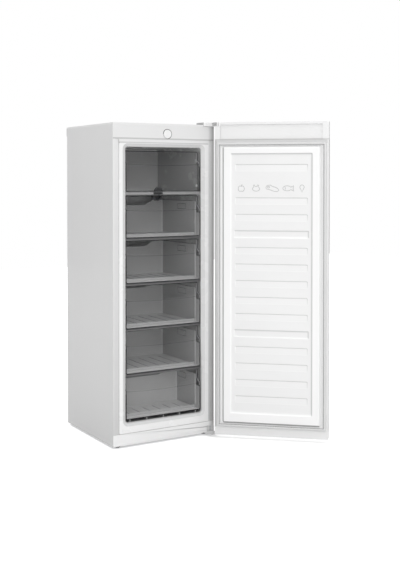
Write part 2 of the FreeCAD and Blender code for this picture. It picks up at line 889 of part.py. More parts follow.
def half_disc(centre_z, y0, y1, upper):
    """Half-round dished finger lug between y0 and y1, above or below centre_z."""
    centre = Vector(grip_lug_x, y0, centre_z)
    disc = cylinder(centre, Y_AXIS, grip_lug_radius, y1 - y0)
    dish = cylinder(centre - Y_AXIS, Y_AXIS, grip_lug_radius - grip_lug_rim, y1 - y0 - 1)
    z0 = centre_z if upper else centre_z - grip_lug_radius
    keep = box(-half_width, half_width, y0 - 1, y1 + 1, z0, z0 + grip_lug_radius)
    return disc.cut(dish).common(keep)


def drawer_front(index):
    """Front of one drawer."""
    return front_panel(front_bottom(index), front_height)


def drawer_tub(index):
    """Open basket behind a drawer's front: low sill, dipped rear wall and side stops."""
    low = front_bottom(index) + tub_lift
    top = low + tub_height
    x = front_half_width - front_wall
    y0 = front_face_y + front_wall
    y1 = low_tub_rear_y if index == drawer_count - 1 else tub_rear_y
    shell = box(-x, x, y0, y1, low, top)
    shell = shell.cut(box(-x + tub_wall, x - tub_wall, y0 - 1, y1 - tub_wall, low + tub_floor, top + 1))
    step = front_bottom(index) + crease_height - crease_dip - tub_step_drop
    shell = shell.cut(box(-x - 1, x + 1, y0 - 1, front_face_y + cheek_depth + seat_gap, step, top + 1))
    notch = [(-notch_half_width - notch_slope_run, top + 1), (-notch_half_width - notch_slope_run, top),
             (-notch_half_width, top - notch_depth), (notch_half_width, top - notch_depth),
             (notch_half_width + notch_slope_run, top), (notch_half_width + notch_slope_run, top + 1)]
    shell = shell.cut(front_profile(notch, y1 - tub_wall - 1, y1 + 1))
    stop_low = top - stop_drop - stop_height
    stop = box(x, x + stop_thickness, front_y + stop_from_front,
               min(front_y + stop_from_front + stop_length, y1 - 5), stop_low, stop_low + stop_height)
    sill_y = y0 + tub_sill_setback
    sill = box(-x + tub_wall / 2, x - tub_wall / 2, sill_y, sill_y + tub_wall,
               low + tub_floor / 2, low + tub_floor + tub_sill_height)
    return fuse([shell, stop, mirrored(stop), sill] + floor_bars(y0, y1, low + tub_floor))


def floor_bars(y0, y1, z):
    """Raised bars that run from front to back on a basket's floor."""
    x = front_half_width - front_wall - tub_wall
    spacing = 2 * x / (floor_bar_count + 1)
    half = floor_bar_width / 2
    bars = []
    for index in range(floor_bar_count):
        centre = -x + spacing * (index + 1)
        bars.append(box(centre - half, centre + half, y0 + floor_bar_start, y1 - floor_bar_end,
                        z - tub_floor / 2, z + floor_bar_height))
    return bars


def flap():
    """Top compartment's flap with an ear and a hinge pin at each end."""
    panel = front_panel(flap_bottom, flap_height)
    ear_x = front_half_width - flap_ear_inset
    reach = flap_ear_length / 2
    y0 = front_face_y + recess_setback + front_wall / 2
    ear = box(ear_x - flap_ear_width, ear_x, y0, flap_pin_y + 8, flap_pin_z - reach, flap_pin_z + reach)
    pin = cylinder(Vector(ear_x - 1, flap_pin_y, flap_pin_z), X_AXIS, flap_pin_radius, 9.0)
    lug = half_disc(flap_bottom, front_face_y - grip_lug_depth, front_face_y, True)
    return fuse([panel, ear, mirrored(ear), pin, mirrored(pin), lug])


def drawer_grip():
    """Finger lug under the top drawer's upper edge, facing the flap's own lug."""
    top = front_bottom(0) + front_height
    return half_disc(top - 2, front_face_y + 2, front_face_y + recess_setback, False)


def flap_catch():
    """Snap block on the top shelf's strip that the flap's lug closes against."""
    high = flap_bottom - trim_drop - 0.5
    y1 = shelf_front_y - trim_depth
    half = grip_lug_radius
    inner = half - grip_lug_rim
    block = rounded_block(grip_lug_x - half, grip_lug_x + half, high - catch_height, high, 3.0,
                          y1 - grip_lug_depth, y1)
    dish = rounded_block(grip_lug_x - inner, grip_lug_x + inner, high - catch_height + 2.5, high - 2.5,
                         3.0, y1 - grip_lug_depth - 1, y1 - grip_lug_depth + 3)
    return block.cut(dish)


def flap_pivots():
    """Blocks on the liner's walls: a bearing for each hinge pin and a rest below it."""
    x0 = front_half_width - flap_ear_inset + seat_gap
    x1 = opening_half_width
    boss = cylinder(Vector(x0, flap_pin_y, flap_pin_z), X_AXIS, pivot_radius, x1 - x0)
    foot = box(x1 - 2, x1, flap_pin_y, flap_pin_y + 2.5 * pivot_radius,
               flap_pin_z - pivot_radius, flap_pin_z + pivot_radius)
    bore = cylinder(Vector(x0 - 1, flap_pin_y, flap_pin_z), X_AXIS, flap_pin_radius + pin_clearance, 20)
    bearing = fuse([boss, foot]).cut(bore)
    rest_z = flap_bottom + flap_stop_lift
    rest = box(front_half_width - front_wall + 0.2 - 8, x1, front_face_y + cheek_depth + seat_gap,
               front_face_y + cheek_depth + 12, rest_z - 6, rest_z + 6)
    return Part.makeCompound([bearing, mirrored(bearing), rest, mirrored(rest)])


# ---------------------------------------------------------------- thermostat and feet
def thermostat():
    """Switch body behind the fascia, bored for the dial's shaft."""
    y0 = front_y + knob_recess_depth + plastic_wall
    body = box(knob_x - thermostat_width / 2, knob_x + thermostat_width / 2, y0, y0 + thermostat_depth,
               knob_z - thermostat_height / 2, knob_z + thermostat_height / 2)
    bore = cylinder(Vector(knob_x, y0 - 1, knob_z), Y_AXIS, shaft_radius + pin_clearance, shaft_length)
    bulb_pipe = cylinder(Vector(knob_x + 10, y0 + thermostat_depth, knob_z), Y_AXIS, 1.2,
                         fascia_depth - knob_recess_depth - plastic_wall - thermostat_depth)
    return fuse([body, bulb_pipe]).cut(bore)


def thermostat_knob():
    """Dial with a raised arrow-shaped pointer and a shaft."""
    back = front_y + knob_recess_depth - knob_gap
    face = front_y - knob_proud
    disc = cylinder(Vector(knob_x, face, knob_z), Y_AXIS, knob_radius, back - face)
    disc = disc.makeFillet(1.2, [e for e in disc.Edges if abs(e.BoundBox.YMax - face) < 0.01])
    half = pointer_length / 2
    arrow = [(knob_x - 4.5, knob_z - half * 0.6), (knob_x + 4.5, knob_z - half * 0.6),
             (knob_x + 2.0, knob_z + half), (knob_x - 2.0, knob_z + half)]
    pointer = front_profile(arrow, face - pointer_height, face + 0.5)
    shaft = cylinder(Vector(knob_x, back - 0.5, knob_z), Y_AXIS, shaft_radius, shaft_length + 0.5)
    return fuse([disc, pointer, shaft])


def levelling_foot(place):
    """Screw-in foot: a pad with a chamfered sole and a threaded stem."""
    pad = foot_pad_radius
    stem = foot_stem_radius
    points = [(0, 0), (pad - 2, 0), (pad, 2), (pad, foot_pad_height), (stem, foot_pad_height),
              (stem, foot_stem_top), (0, foot_stem_top)]
    return turned(points, place)


def rear_feet():
    """Fixed skids under the machine bay."""
    x = half_width - foot_inset_x
    y1 = rear_y - 14
    foot = box(x - rear_foot_width / 2, x + rear_foot_width / 2, y1 - rear_foot_length, y1,
               0, body_bottom)
    sole = [e for e in foot.Edges if all(v.Z < 0.01 for v in e.Vertexes)]
    return both_sides(foot.makeChamfer(1.5, sole))


# ---------------------------------------------------------------- refrigeration set
def compressor():
    """Welded steel shell on a foot plate, with three pipe stubs."""
    centre_y = rear_y - bay_depth / 2
    base = foam_bottom + grommet_height
    centre = Vector(compressor_x, centre_y, base)
    r = compressor_radius
    h = compressor_height
    shell = cylinder(centre + Z_AXIS * compressor_plate, Z_AXIS, r, h - compressor_plate)
    upper = [e for e in shell.Edges if all(abs(v.Z - base - h) < 0.01 for v in e.Vertexes)]
    shell = shell.makeFillet(compressor_dome, upper)
    bottom = base + compressor_plate
    lower = [e for e in shell.Edges if all(abs(v.Z - bottom) < 0.01 for v in e.Vertexes)]
    shell = shell.makeFillet(compressor_dome / 2, lower)
    seam = cylinder(centre + Z_AXIS * (h * 0.52), Z_AXIS, r + compressor_seam, compressor_seam)
    reach_x = compressor_foot_spacing_x / 2 + 16
    reach_y = compressor_foot_spacing_y / 2 + 16
    plate = box(compressor_x - reach_x, compressor_x + reach_x, centre_y - reach_y, centre_y + reach_y,
                base, base + compressor_plate)
    for place in grommet_places():
        plate = plate.cut(cylinder(place, Z_AXIS, mount_pin_radius + 0.2,
                                   grommet_height + 2 * compressor_plate))
    stub_z = base + h * 0.5
    stub = cylinder(Vector(compressor_x, centre_y + stub_offset, stub_z), X_AXIS, pipe_radius + 1,
                    r + stub_length)
    return fuse([shell, seam, plate, stub])


def compressor_mounts():
    """Rubber grommets under the compressor's foot plate."""
    return Part.makeCompound([
        cylinder(place, Z_AXIS, grommet_radius, grommet_height)
        .cut(cylinder(place - Z_AXIS, Z_AXIS, grommet_bore, grommet_height + 2))
        for place in grommet_places()])


def mount_pins():
    """Headed pins that hold the compressor down through its grommets."""
    pins = []
    top = foam_bottom + grommet_height + compressor_plate
    for place in grommet_places():
        foot = Vector(place.x, place.y, body_bottom)
        shank = cylinder(foot, Z_AXIS, mount_pin_radius, top - body_bottom + 3)
        head = cylinder(Vector(place.x, place.y, top), Z_AXIS, mount_pin_radius + 4, 3)
        pins.append(fuse([shank, head]))
    return Part.makeCompound(pins)


def terminal_box():
    """Relay and terminal cover on the compressor's side, with a gland for the supply lead."""
    centre_y = rear_y - bay_depth / 2
    z0 = foam_bottom + grommet_height + compressor_plate + terminal_lift
    x1 = compressor_x - compressor_radius + terminal_bite
    x0 = x1 - terminal_width
    side_y = terminal_depth / 2
    body = box(x0, x1, centre_y - side_y, centre_y + side_y, z0, z0 + terminal_height)
    gland_at = Vector(x0 + gland_inset, centre_y + side_y, z0 + gland_lift)
    gland = cylinder(gland_at, Y_AXIS, gland_radius, gland_length)
    body = fuse([body, gland])
    body = body.cut(cylinder(gland_at - Y_AXIS * 12, Y_AXIS, gland_bore, gland_length + 20))
    return body.cut(compressor())


def refrigerant_pipes():
    """Suction and discharge lines between the compressor, the drier and the bay's roof."""
    centre_y = rear_y - bay_depth / 2
    base = foam_bottom + grommet_height
    roof = bay_top - bay_sheet
    stub_end = Vector(compressor_x + compressor_radius + stub_length, centre_y + stub_offset,
                      base + compressor_height * 0.5)
    turn = stub_end + X_AXIS * suction_reach
    suction = tube([stub_end, turn, Vector(turn.x, turn.y, roof)], pipe_radius, pipe_bend)
    crown = Vector(compressor_x, centre_y, base + compressor_height)
    above = crown + Z_AXIS * discharge_rise
    aside = above - X_AXIS * discharge_reach
    behind = aside + Y_AXIS * discharge_setback
    discharge = tube([crown, above, aside, behind, Vector(behind.x, behind.y, roof)],
                     pipe_radius, discharge_bend)
    drier_low = drier_foot()
    drier_high = drier_low + Z_AXIS * drier_length
    rise = tube([drier_high, Vector(drier_high.x, drier_high.y, roof)], pipe_radius, pipe_bend)
    below = drier_low - Z_AXIS * drier_loop_drop
    beside = below - X_AXIS * drier_loop_reach
    drop = tube([drier_low, below, beside, Vector(beside.x, beside.y, roof)], pipe_radius, pipe_bend)
    return Part.makeCompound([suction, discharge, rise, drop])


def drier_foot():
    """Lower end of the filter drier."""
    return Vector(drier_x, rear_y - bay_depth / 2, foam_bottom + drier_lift)


def filter_drier():
    """Copper capsule with necked ends."""
    r = drier_radius
    neck = drier_neck
    points = [(0, 0), (pipe_radius + 1, 0), (r, neck), (r, drier_length - neck),
              (pipe_radius + 1, drier_length), (0, drier_length)]
    return turned(points, drier_foot())


# ---------------------------------------------------------------- door, built closed
def opened(shape):
    """Turn a closed door piece about the hinge pins to the rest position."""
    turned_shape = shape.copy()
    turned_shape.rotate(Vector(door_pin_x, door_pin_y, 0), Z_AXIS, door_open_angle)
    return turned_shape


def door_skin():
    """Steel outer skin, folded back along both upright edges."""
    low, high = door_low_cap_top, door_cap_bottom
    block = box(-half_width, half_width, door_outer_y, door_inner_y, low, high)
    block = fillet_upright(block, door_edge_radius, half_width, door_outer_y)
    inner = half_width - sheet
    hollow = box(-inner, inner, door_outer_y + sheet, door_inner_y - sheet, low - 1, high + 1)
    hollow = fillet_upright(hollow, door_edge_radius - sheet, inner, door_outer_y + sheet)
    gap = half_width - inner_flange
    mouth = box(-gap, gap, door_inner_y - 2 * sheet, door_inner_y + 1, low - 1, high + 1)
    return block.cut(hollow).cut(mouth)


def cap_block(z0, z1):
    """Full-thickness end of the door with rounded outer corners."""
    block = box(-half_width, half_width, door_outer_y, door_inner_y, z0, z1)
    return fillet_upright(block, door_edge_radius, half_width, door_outer_y)


def bearing_boss(z0, z1):
    """Solid post in a cap that holds a hinge bush."""
    radius = pin_radius + bush_wall + boss_wall
    return cylinder(Vector(door_pin_x, door_pin_y, z0), Z_AXIS, radius, z1 - z0)


def bush_bore(z0, z1):
    """Bore that the bush sits in."""
    return cylinder(Vector(door_pin_x, door_pin_y, z0), Z_AXIS, pin_radius + bush_wall, z1 - z0)


def door_top_cap():
    """Upper end cap: recessed inner face, lip above it and a notch for the hinge arm."""
    wall = plastic_wall
    cap = cap_block(door_cap_bottom, door_top)
    top_edges = [e for e in cap.Edges
                 if all(abs(v.Z - door_top) < 0.01 for v in e.Vertexes)
                 and all(v.Y < door_inner_y - 1 for v in e.Vertexes)]
    cap = cap.makeFillet(door_end_radius, top_edges)
    inner = half_width - wall
    cap = cap.cut(box(-inner, inner, door_outer_y + wall, door_inner_y - cap_recess_depth - wall,
                      door_cap_bottom - 1, door_top - wall))
    left = -half_width + cap_block_width
    right = half_width - hinge_notch_width
    cap = cap.cut(box(left, right, door_inner_y - cap_recess_depth, door_inner_y + 1,
                      door_cap_bottom - 1, door_top - cap_lip_height))
    cap = cap.cut(box(right, half_width + 1, door_outer_y - 1, door_inner_y + 1,
                      notch_floor, door_top + 1))
    post_x = right - wall
    floor_block = box(post_x, half_width, door_outer_y, door_inner_y, notch_floor - wall, notch_floor)
    wall_block = box(post_x, right, door_outer_y, door_inner_y, notch_floor - wall, door_top - wall)
    outline = cap_block(door_cap_bottom, door_top)
    extra = fuse([floor_block, wall_block]).common(outline)
    boss = bearing_boss(notch_floor - bush_length - 6, notch_floor).common(outline)
    cap = fuse([cap, extra, boss])
    return cap.cut(bush_bore(notch_floor - bush_length, notch_floor + 1))


def door_bottom_cap():
    """Lower end cap with the bearing for the lower pin."""
    wall = plastic_wall
    cap = cap_block(door_bottom, door_low_cap_top)
    low_edges = [e for e in cap.Edges
                 if all(abs(v.Z - door_bottom) < 0.01 for v in e.Vertexes)
                 and all(v.Y < door_inner_y - 1 for v in e.Vertexes)]
    cap = cap.makeFillet(door_end_radius, low_edges)
    inner = half_width - wall
    cap = cap.cut(box(-inner, inner, door_outer_y + wall, door_inner_y - wall,
                      door_bottom + wall, door_low_cap_top + 1))
    outline = cap_block(door_bottom, door_low_cap_top)
    cap = fuse([cap, bearing_boss(door_bottom, door_bottom + bush_length + 6).common(outline)])
    return cap.cut(bush_bore(door_bottom - 1, door_bottom + bush_length))


def liner_levels():
    """Lower and upper edge of the door liner's raised rim."""
    return door_low_cap_top + rim_foot, door_cap_bottom - rim_head


def door_liner():
    """White inner moulding: raised rim, sunk field, shallow ribs and two bold channels."""
    y0 = door_inner_y
    plate_x = half_width - liner_margin
    plate = box(-plate_x, plate_x, y0, y0 + liner_sheet, door_low_cap_top + 2, door_cap_bottom - 2)
    rim_x = half_width - rim_margin
    low, high = liner_levels()
    slope = rim_slope
    rim = tapered_block((-rim_x, rim_x, low, high, 8.0),
                        (-rim_x + slope, rim_x - slope, low + slope, high - slope, 8.0),
                        y0 + liner_sheet, y0 + rim_height)
    field_x = rim_x - field_inset_side
    field_low, field_high = low + field_inset_bottom, high - field_inset_top
    face_y = y0 + rim_height - field_depth
    rib_room = field_high - rib_top_offset - rib_height - rib_bottom_offset - field_low
    rib_pitch = rib_room / (rib_total - 1)
    rib_half_width = field_x - rib_side_inset
    body = fuse([plate, rim])
    body = body.cut(tapered_block((-field_x + 3, field_x - 3, field_low + 3, field_high - 3, 5.0),
                                  (-field_x - 1, field_x + 1, field_low - 1, field_high + 1, 5.0),
                                  face_y, y0 + rim_height + 1.3))
    for index in range(rib_total):
        if index == blank_rib:
            continue
        bold = index in bold_ribs
        depth = bold_depth if bold else rib_depth
        top = field_high - rib_top_offset - index * rib_pitch
        bottom = top - rib_height
        half = rib_half_width
        if bold:
            top += bold_rise
            bottom -= bold_rise
            half += bold_extra
        inset = depth * 1.6
        body = body.cut(tapered_block(
            (-half + inset, half - inset, bottom + inset, top - inset, 3.0),
            (-half, half, bottom, top, 3.0), face_y - depth, face_y + 0.01))
    return body.cut(rim_hollow())


def rim_hollow():
    """Space behind the liner's raised rim, filled by the door's insulation."""
    low, high = liner_levels()
    y0 = door_inner_y
    slope = rim_slope
    inset = slope + rim_wall
    rim_x = half_width - rim_margin
    hollow = rounded_block(-rim_x + inset, rim_x - inset, low + inset, high - inset, 6.0,
                           y0, y0 + rim_height - rim_wall)
    field_x = rim_x - field_inset_side + 3
    keep = box(-field_x, field_x, y0 - 1, y0 + rim_height,
               low + field_inset_bottom - 3, high - field_inset_top + 3)
    return hollow.cut(keep)


def gasket_edges():
    """Outer x, lower z and upper z of the gasket."""
    low, high = liner_levels()
    x = half_width - rim_margin + gasket_side_gap + gasket_width
    reach = gasket_end_gap + gasket_width
    return x, low - reach, high + reach


def door_gasket():
    """Magnetic seal: clipped base, bellows neck and a hollow head."""
    x, low, high = gasket_edges()
    y0 = door_inner_y + liner_sheet
    head_y1 = front_y - seat_gap
    head_y0 = head_y1 - gasket_head
    base = ring(-x, x, low, high, gasket_width, y0, y0 + gasket_base)
    inset = (gasket_width - gasket_neck) / 2
    neck = ring(-x + inset, x - inset, low + inset, high - inset, gasket_neck,
                y0 + gasket_base - 0.1, head_y0)
    side = (gasket_width - gasket_head_width) / 2
    head = ring(-x + side, x - side, low + side, high - side, gasket_head_width, head_y0 - 0.1, head_y1)
    seal = fuse([base, neck, head])
    return seal.cut(magnet_ring(0.1))


def magnet_ring(gap):
    """Space of the magnetic strip inside the gasket's head, grown by gap."""
    x, low, high = gasket_edges()
    inset = (gasket_width - magnet_width) / 2 - gap
    y1 = front_y - seat_gap - (gasket_head - magnet_height) / 2 + gap
    return ring(-x + inset, x - inset, low + inset, high - inset, magnet_width + 2 * gap,
                y1 - magnet_height - 2 * gap, y1)


def door_foam():
    """Insulation inside the door."""
    inner = half_width - sheet
    block = box(-inner, inner, door_outer_y + sheet, door_inner_y - sheet,
                door_low_cap_top, door_cap_bottom)
    block = fillet_upright(block, door_edge_radius - sheet, inner, door_outer_y + sheet)
    middle = half_width - inner_flange
    pad = box(-middle, middle, door_inner_y - 2 * sheet, door_inner_y,
              door_low_cap_top, door_cap_bottom)
    return fuse([block, pad, rim_hollow()])


def hinge_bushes():
    """Plain bearing sleeves in the door's two end caps."""
    solids = []
    for z0 in (notch_floor - bush_length, door_bottom):
        centre = Vector(door_pin_x, door_pin_y, z0)
        sleeve = cylinder(centre, Z_AXIS, pin_radius + bush_wall, bush_length)
        if z0 == door_bottom:
            collar = cylinder(centre - Z_AXIS * bush_collar, Z_AXIS, bush_collar_radius, bush_collar)
            sleeve = fuse([sleeve, collar])
        bore = cylinder(centre - Z_AXIS * 3, Z_AXIS, pin_radius + pin_clearance, bush_length + 6)
        solids.append(sleeve.cut(bore))
    return Part.makeCompound(solids)


# ---------------------------------------------------------------- hinges
def top_hinge():
    """Steel plate on the worktop with an arm over the door and a pin pointing down."""
    x0, x1 = hinge_plate_left, hinge_plate_right
    z0 = cabinet_top
    outline = [(x0, front_y + 8), (x0, front_y + hinge_plate_rear), (x1, front_y + hinge_plate_rear),
               (x1, door_pin_y), (door_pin_x - hinge_arm_radius, door_pin_y),
               (door_pin_x - hinge_arm_radius, front_y - 2)]
    plate = plan_profile(outline, z0, z0 + hinge_plate)
    eye = cylinder(Vector(door_pin_x, door_pin_y, z0), Z_AXIS, hinge_arm_radius, hinge_plate)
    pin_low = notch_floor - bush_length + 2
    pin = cylinder(Vector(door_pin_x, door_pin_y, pin_low), Z_AXIS, pin_radius, z0 - pin_low + 0.5)
    body = fuse([plate, eye, pin])
    for place in top_screw_places:
        body = body.cut(screw_hole(place, Z_AXIS))
    return body


def top_hinge_cover():
    """Moulded cover over the upper hinge."""
    x1 = half_width
    x0 = hinge_plate_left - hinge_cover_gap - hinge_cover_wall
    z1 = cabinet_top + hinge_cover_height
    radius = pin_inset
    back = front_y + hinge_plate_rear
    outline = [(x0, front_y - 5), (x0, back + 4), (x1, back + 4), (x1, door_pin_y),
               (door_pin_x - radius, door_pin_y), (door_pin_x - radius, front_y - 10),
               (x0 + 10, front_y - 9)]
    pin_foot = Vector(door_pin_x, door_pin_y, cabinet_top)
    outer = fuse([plan_profile(outline, cabinet_top, z1),
                  cylinder(pin_foot, Z_AXIS, radius, hinge_cover_height)])
    nose_low = cabinet_top - hinge_cover_drop
    nose = plan_profile(outline, nose_low, z1).common(
        box(x0 - 1, x1 + 1, door_pin_y - 2 * radius, front_y - seat_gap, nose_low - 1, z1))
    tip = cylinder(Vector(door_pin_x, door_pin_y, nose_low), Z_AXIS, radius, z1 - nose_low)
    outer = fuse([outer, nose, tip])
    rim = [e for e in outer.Edges if all(abs(v.Z - z1) < 0.01 for v in e.Vertexes)]
    outer = outer.makeChamfer(1.5, rim)
    wall = hinge_cover_wall
    arm_x = door_pin_x - hinge_arm_radius - 0.2
    room = [(x0 + wall, front_y + 7), (x0 + wall, back + 2), (x1 - 0.8, back + 2),
            (x1 - 0.8, door_pin_y), (arm_x, door_pin_y), (arm_x, front_y - 2)]
    hollow = plan_profile(room, nose_low - 1, z1 - wall - 2)
    eye_room = cylinder(Vector(door_pin_x, door_pin_y, nose_low - 1), Z_AXIS,
                        hinge_arm_radius + 0.1, z1 - wall - nose_low - 1)
    return outer.cut(hollow).cut(eye_room)


def lower_hinge():
    """Steel bracket screwed to the plinth, with a shelf under the door and a pin pointing up."""
    x1 = half_width
    x0 = x1 - lower_plate_width
    z0 = door_bottom - lower_plate_gap - hinge_plate
    y0 = front_y - lower_plate_front
    outline = [(x0, front_y), (x0 + lower_plate_slant, y0), (x1 - lower_plate_corner, y0),
               (x1, y0 + lower_plate_corner), (x1, front_y)]
    shelf_plate = plan_profile(outline, z0, z0 + hinge_plate)
    leg_x = x1 - lower_leg_inset
    leg = box(leg_x - lower_leg_width, leg_x, front_y - hinge_plate, front_y, z0, lower_leg_top)
    pin = cylinder(Vector(door_pin_x, door_pin_y, z0 + 1), Z_AXIS, pin_radius,
                   door_bottom + bush_length - 2 - z0)
    body = fuse([shelf_plate, leg, pin])
    for place in low_screw_places:
        body = body.cut(screw_hole(place, Y_AXIS * -1))
    return body


def hinge_screws():
    """Screws of both hinges."""
    screws = [screw(place, Z_AXIS) for place in top_screw_places]
    screws += [screw(place, Y_AXIS * -1) for place in low_screw_places]
    return Part.makeCompound(screws)


def rear_screws():
    """Screws along the upright edges of the back."""
    return Part.makeCompound([screw(place, Y_AXIS) for place in rear_screw_places])


# ---------------------------------------------------------------- assembly
def build():
    """Every node's name and shape."""
    feet = foot_places()
    side = left_side_panel()
    nodes = {
        "left_side_panel": side,
        "right_side_panel": mirrored(side),
        "rear_panel": rear_panel(),
        "worktop": worktop(),
        "control_panel": control_panel(),
        "top_rail": top_rail(),
        "plinth": plinth(),
        "base_plate": base_plate(),
        "machine_bay_sheet": machine_bay_sheet(),
        "inner_liner": inner_liner(),
        "cabinet_foam": cabinet_foam(),
        "condenser_coil": condenser_coil(),
        "evaporator_coil": evaporator_coil(),
        "evaporator_risers": evaporator_risers(),
        "shelf_trims": shelf_trims(),
        "flap_pivots": flap_pivots(),
        "thermostat": thermostat(),
        "thermostat_knob": thermostat_knob(),
        "left_foot": levelling_foot(feet[0]),
        "right_foot": levelling_foot(feet[1]),
        "rear_feet": rear_feet(),
        "compressor": compressor(),
        "compressor_mounts": compressor_mounts(),
        "mount_pins": mount_pins(),
        "terminal_box": terminal_box(),
        "refrigerant_pipes": refrigerant_pipes(),
        "filter_drier": filter_drier(),
        "top_hinge": top_hinge(),
        "top_hinge_cover": top_hinge_cover(),
        "lower_hinge": lower_hinge(),
        "hinge_screws": hinge_screws(),
        "rear_screws": rear_screws(),
        "flap": flap(),
        "flap_catch": flap_catch(),
        "door_skin": opened(door_skin()),
        "door_top_cap": opened(door_top_cap()),
        "door_bottom_cap": opened(door_bottom_cap()),
        "door_liner": opened(door_liner()),
        "door_gasket": opened(door_gasket()),
        "gasket_magnet": opened(magnet_ring(0)),
        "door_foam": opened(door_foam()),
        "hinge_bushes": opened(hinge_bushes()),
    }
    for number, top in enumerate(shelf_levels(), start=1):
        nodes[f"shelf_{number}"] = shelf(top)
    for index in range(drawer_count):
        nodes[f"drawer_{index + 1}_tub"] = drawer_tub(index)
        nodes[f"drawer_{index + 1}_front"] = drawer_front(index)
    nodes["drawer_1_grip"] = drawer_grip()
    return nodes


os.makedirs("parts", exist_ok=True)
for name, shape in build().items():
    shape.exportStep(f"parts/{name}.step")
    print(f"{name}: {len(shape.Solids)} solids, valid {shape.isValid()}, {shape.Volume / 1000:.1f} cm3")
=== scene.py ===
import math

import bmesh
import bpy
from mathutils import Matrix, Vector


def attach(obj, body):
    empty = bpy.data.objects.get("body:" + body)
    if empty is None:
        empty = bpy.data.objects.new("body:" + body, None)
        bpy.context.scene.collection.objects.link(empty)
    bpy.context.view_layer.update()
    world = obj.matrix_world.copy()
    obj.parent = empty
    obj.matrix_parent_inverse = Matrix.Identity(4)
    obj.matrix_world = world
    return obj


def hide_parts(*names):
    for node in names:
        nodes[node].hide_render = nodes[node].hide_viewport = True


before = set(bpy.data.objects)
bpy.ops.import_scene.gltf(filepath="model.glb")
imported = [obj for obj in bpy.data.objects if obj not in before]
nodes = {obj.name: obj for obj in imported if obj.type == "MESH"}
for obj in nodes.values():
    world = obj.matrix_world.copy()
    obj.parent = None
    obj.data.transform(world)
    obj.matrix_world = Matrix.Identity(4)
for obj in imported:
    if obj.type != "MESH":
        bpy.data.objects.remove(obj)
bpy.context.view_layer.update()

MM = 0.001

# ---------------------------------------- places shared with the CAD model, mm
HALF = 297.5
FRONT = -290.0
PIN_X, PIN_Y = 289.5, -341.0
OPEN_ANGLE = math.radians(138.0)
DOOR_FACE = -302.0
DOOR_BACK = -352.0
CAP_LOW, CAP_HIGH = 62.0, 1567.0
RIM_LOW, RIM_HIGH = 86.0, 1535.0
RIM_X = 255.5
FIELD_HEIGHT = 5.0
RAIL_HEIGHT = 20.0
DIAL_X, DIAL_Z = 16.0, 1597.0
DRAWERS = 5
PITCH = 231.0
FRONT_HEIGHT = 217.0
LOWEST = 138.0
FLAP_LOW = 1298.0
FLAP_HEIGHT = 212.0
FACE_Y = FRONT + 10.0


# ---------------------------------------- materials
def shader(name, **inputs):
    """A node material with its Principled shader; sockets are set by keyword."""
    mat = bpy.data.materials.new(name)
    mat.use_nodes = True
    bsdf = mat.node_tree.nodes["Principled BSDF"]
    for key, value in inputs.items():
        bsdf.inputs[key.replace("_", " ")].default_value = value
    return mat, bsdf


def noise_of(mat, scale, detail, rough):
    """Noise in object coordinates, in cycles per metre."""
    tree = mat.node_tree
    coord = tree.nodes.new("ShaderNodeTexCoord")
    noise = tree.nodes.new("ShaderNodeTexNoise")
    noise.inputs["Scale"].default_value = scale
    noise.inputs["Detail"].default_value = detail
    noise.inputs["Roughness"].default_value = rough
    tree.links.new(coord.outputs["Object"], noise.inputs["Vector"])
    return noise


def ramp_of(mat, source, low, high):
    """Colour ramp between two grey or RGB values driven by a noise factor."""
    ramp = mat.node_tree.nodes.new("ShaderNodeValToRGB")
    for element, place, value in zip(ramp.color_ramp.elements, (0.35, 0.65), (low, high)):
        element.position = place
        element.color = (*value, 1.0) if isinstance(value, tuple) else (value, value, value, 1.0)
    mat.node_tree.links.new(source.outputs["Fac"], ramp.inputs["Fac"])
    return ramp


def shade(colour, factor):
    """Colour made lighter or darker, kept below full white."""
    return tuple(min(1.0, c * factor) for c in colour)


def grey(value):
    """Neutral colour."""
    return (value, value, value)


def along(tree, output, way):
    """Position or normal, as named by output, measured along a direction of the cabinet."""
    coord = tree.nodes.new("ShaderNodeTexCoord")
    dot = tree.nodes.new("ShaderNodeVectorMath")
    dot.operation = "DOT_PRODUCT"
    dot.inputs[1].default_value = way
    tree.links.new(coord.outputs[output], dot.inputs[0])
    return dot.outputs["Value"]


def multiply_into(tree, first, second, target):
    """Feed a colour socket with the product of two outputs."""
    blend = tree.nodes.new("ShaderNodeMix")
    blend.data_type = "RGBA"
    blend.blend_type = "MULTIPLY"
    blend.inputs["Factor"].default_value = 1.0
    tree.links.new(first, blend.inputs[6])
    tree.links.new(second, blend.inputs[7])
    tree.links.new(blend.outputs[2], target)


def faced(mat, tint, bsdf, way, stops, both=False):
    """Paint light and shade into a tint by how far the surface is turned along a direction; both counts
    its reverse too.
    """
    tree = mat.node_tree
    size = tree.nodes.new("ShaderNodeMath")
    size.operation = "ABSOLUTE" if both else "MAXIMUM"
    size.inputs[1].default_value = 0.0
    ramp = tree.nodes.new("ShaderNodeValToRGB")
    while len(ramp.color_ramp.elements) < len(stops):
        ramp.color_ramp.elements.new(0.5)
    for element, (place, level) in zip(ramp.color_ramp.elements, stops):
        element.position = place
        element.color = (*grey(level), 1.0)
    tree.links.new(along(tree, "Normal", way), size.inputs[0])
    tree.links.new(size.outputs["Value"], ramp.inputs["Fac"])
    multiply_into(tree, tint.outputs["Color"], ramp.outputs["Color"], bsdf.inputs["Base Color"])


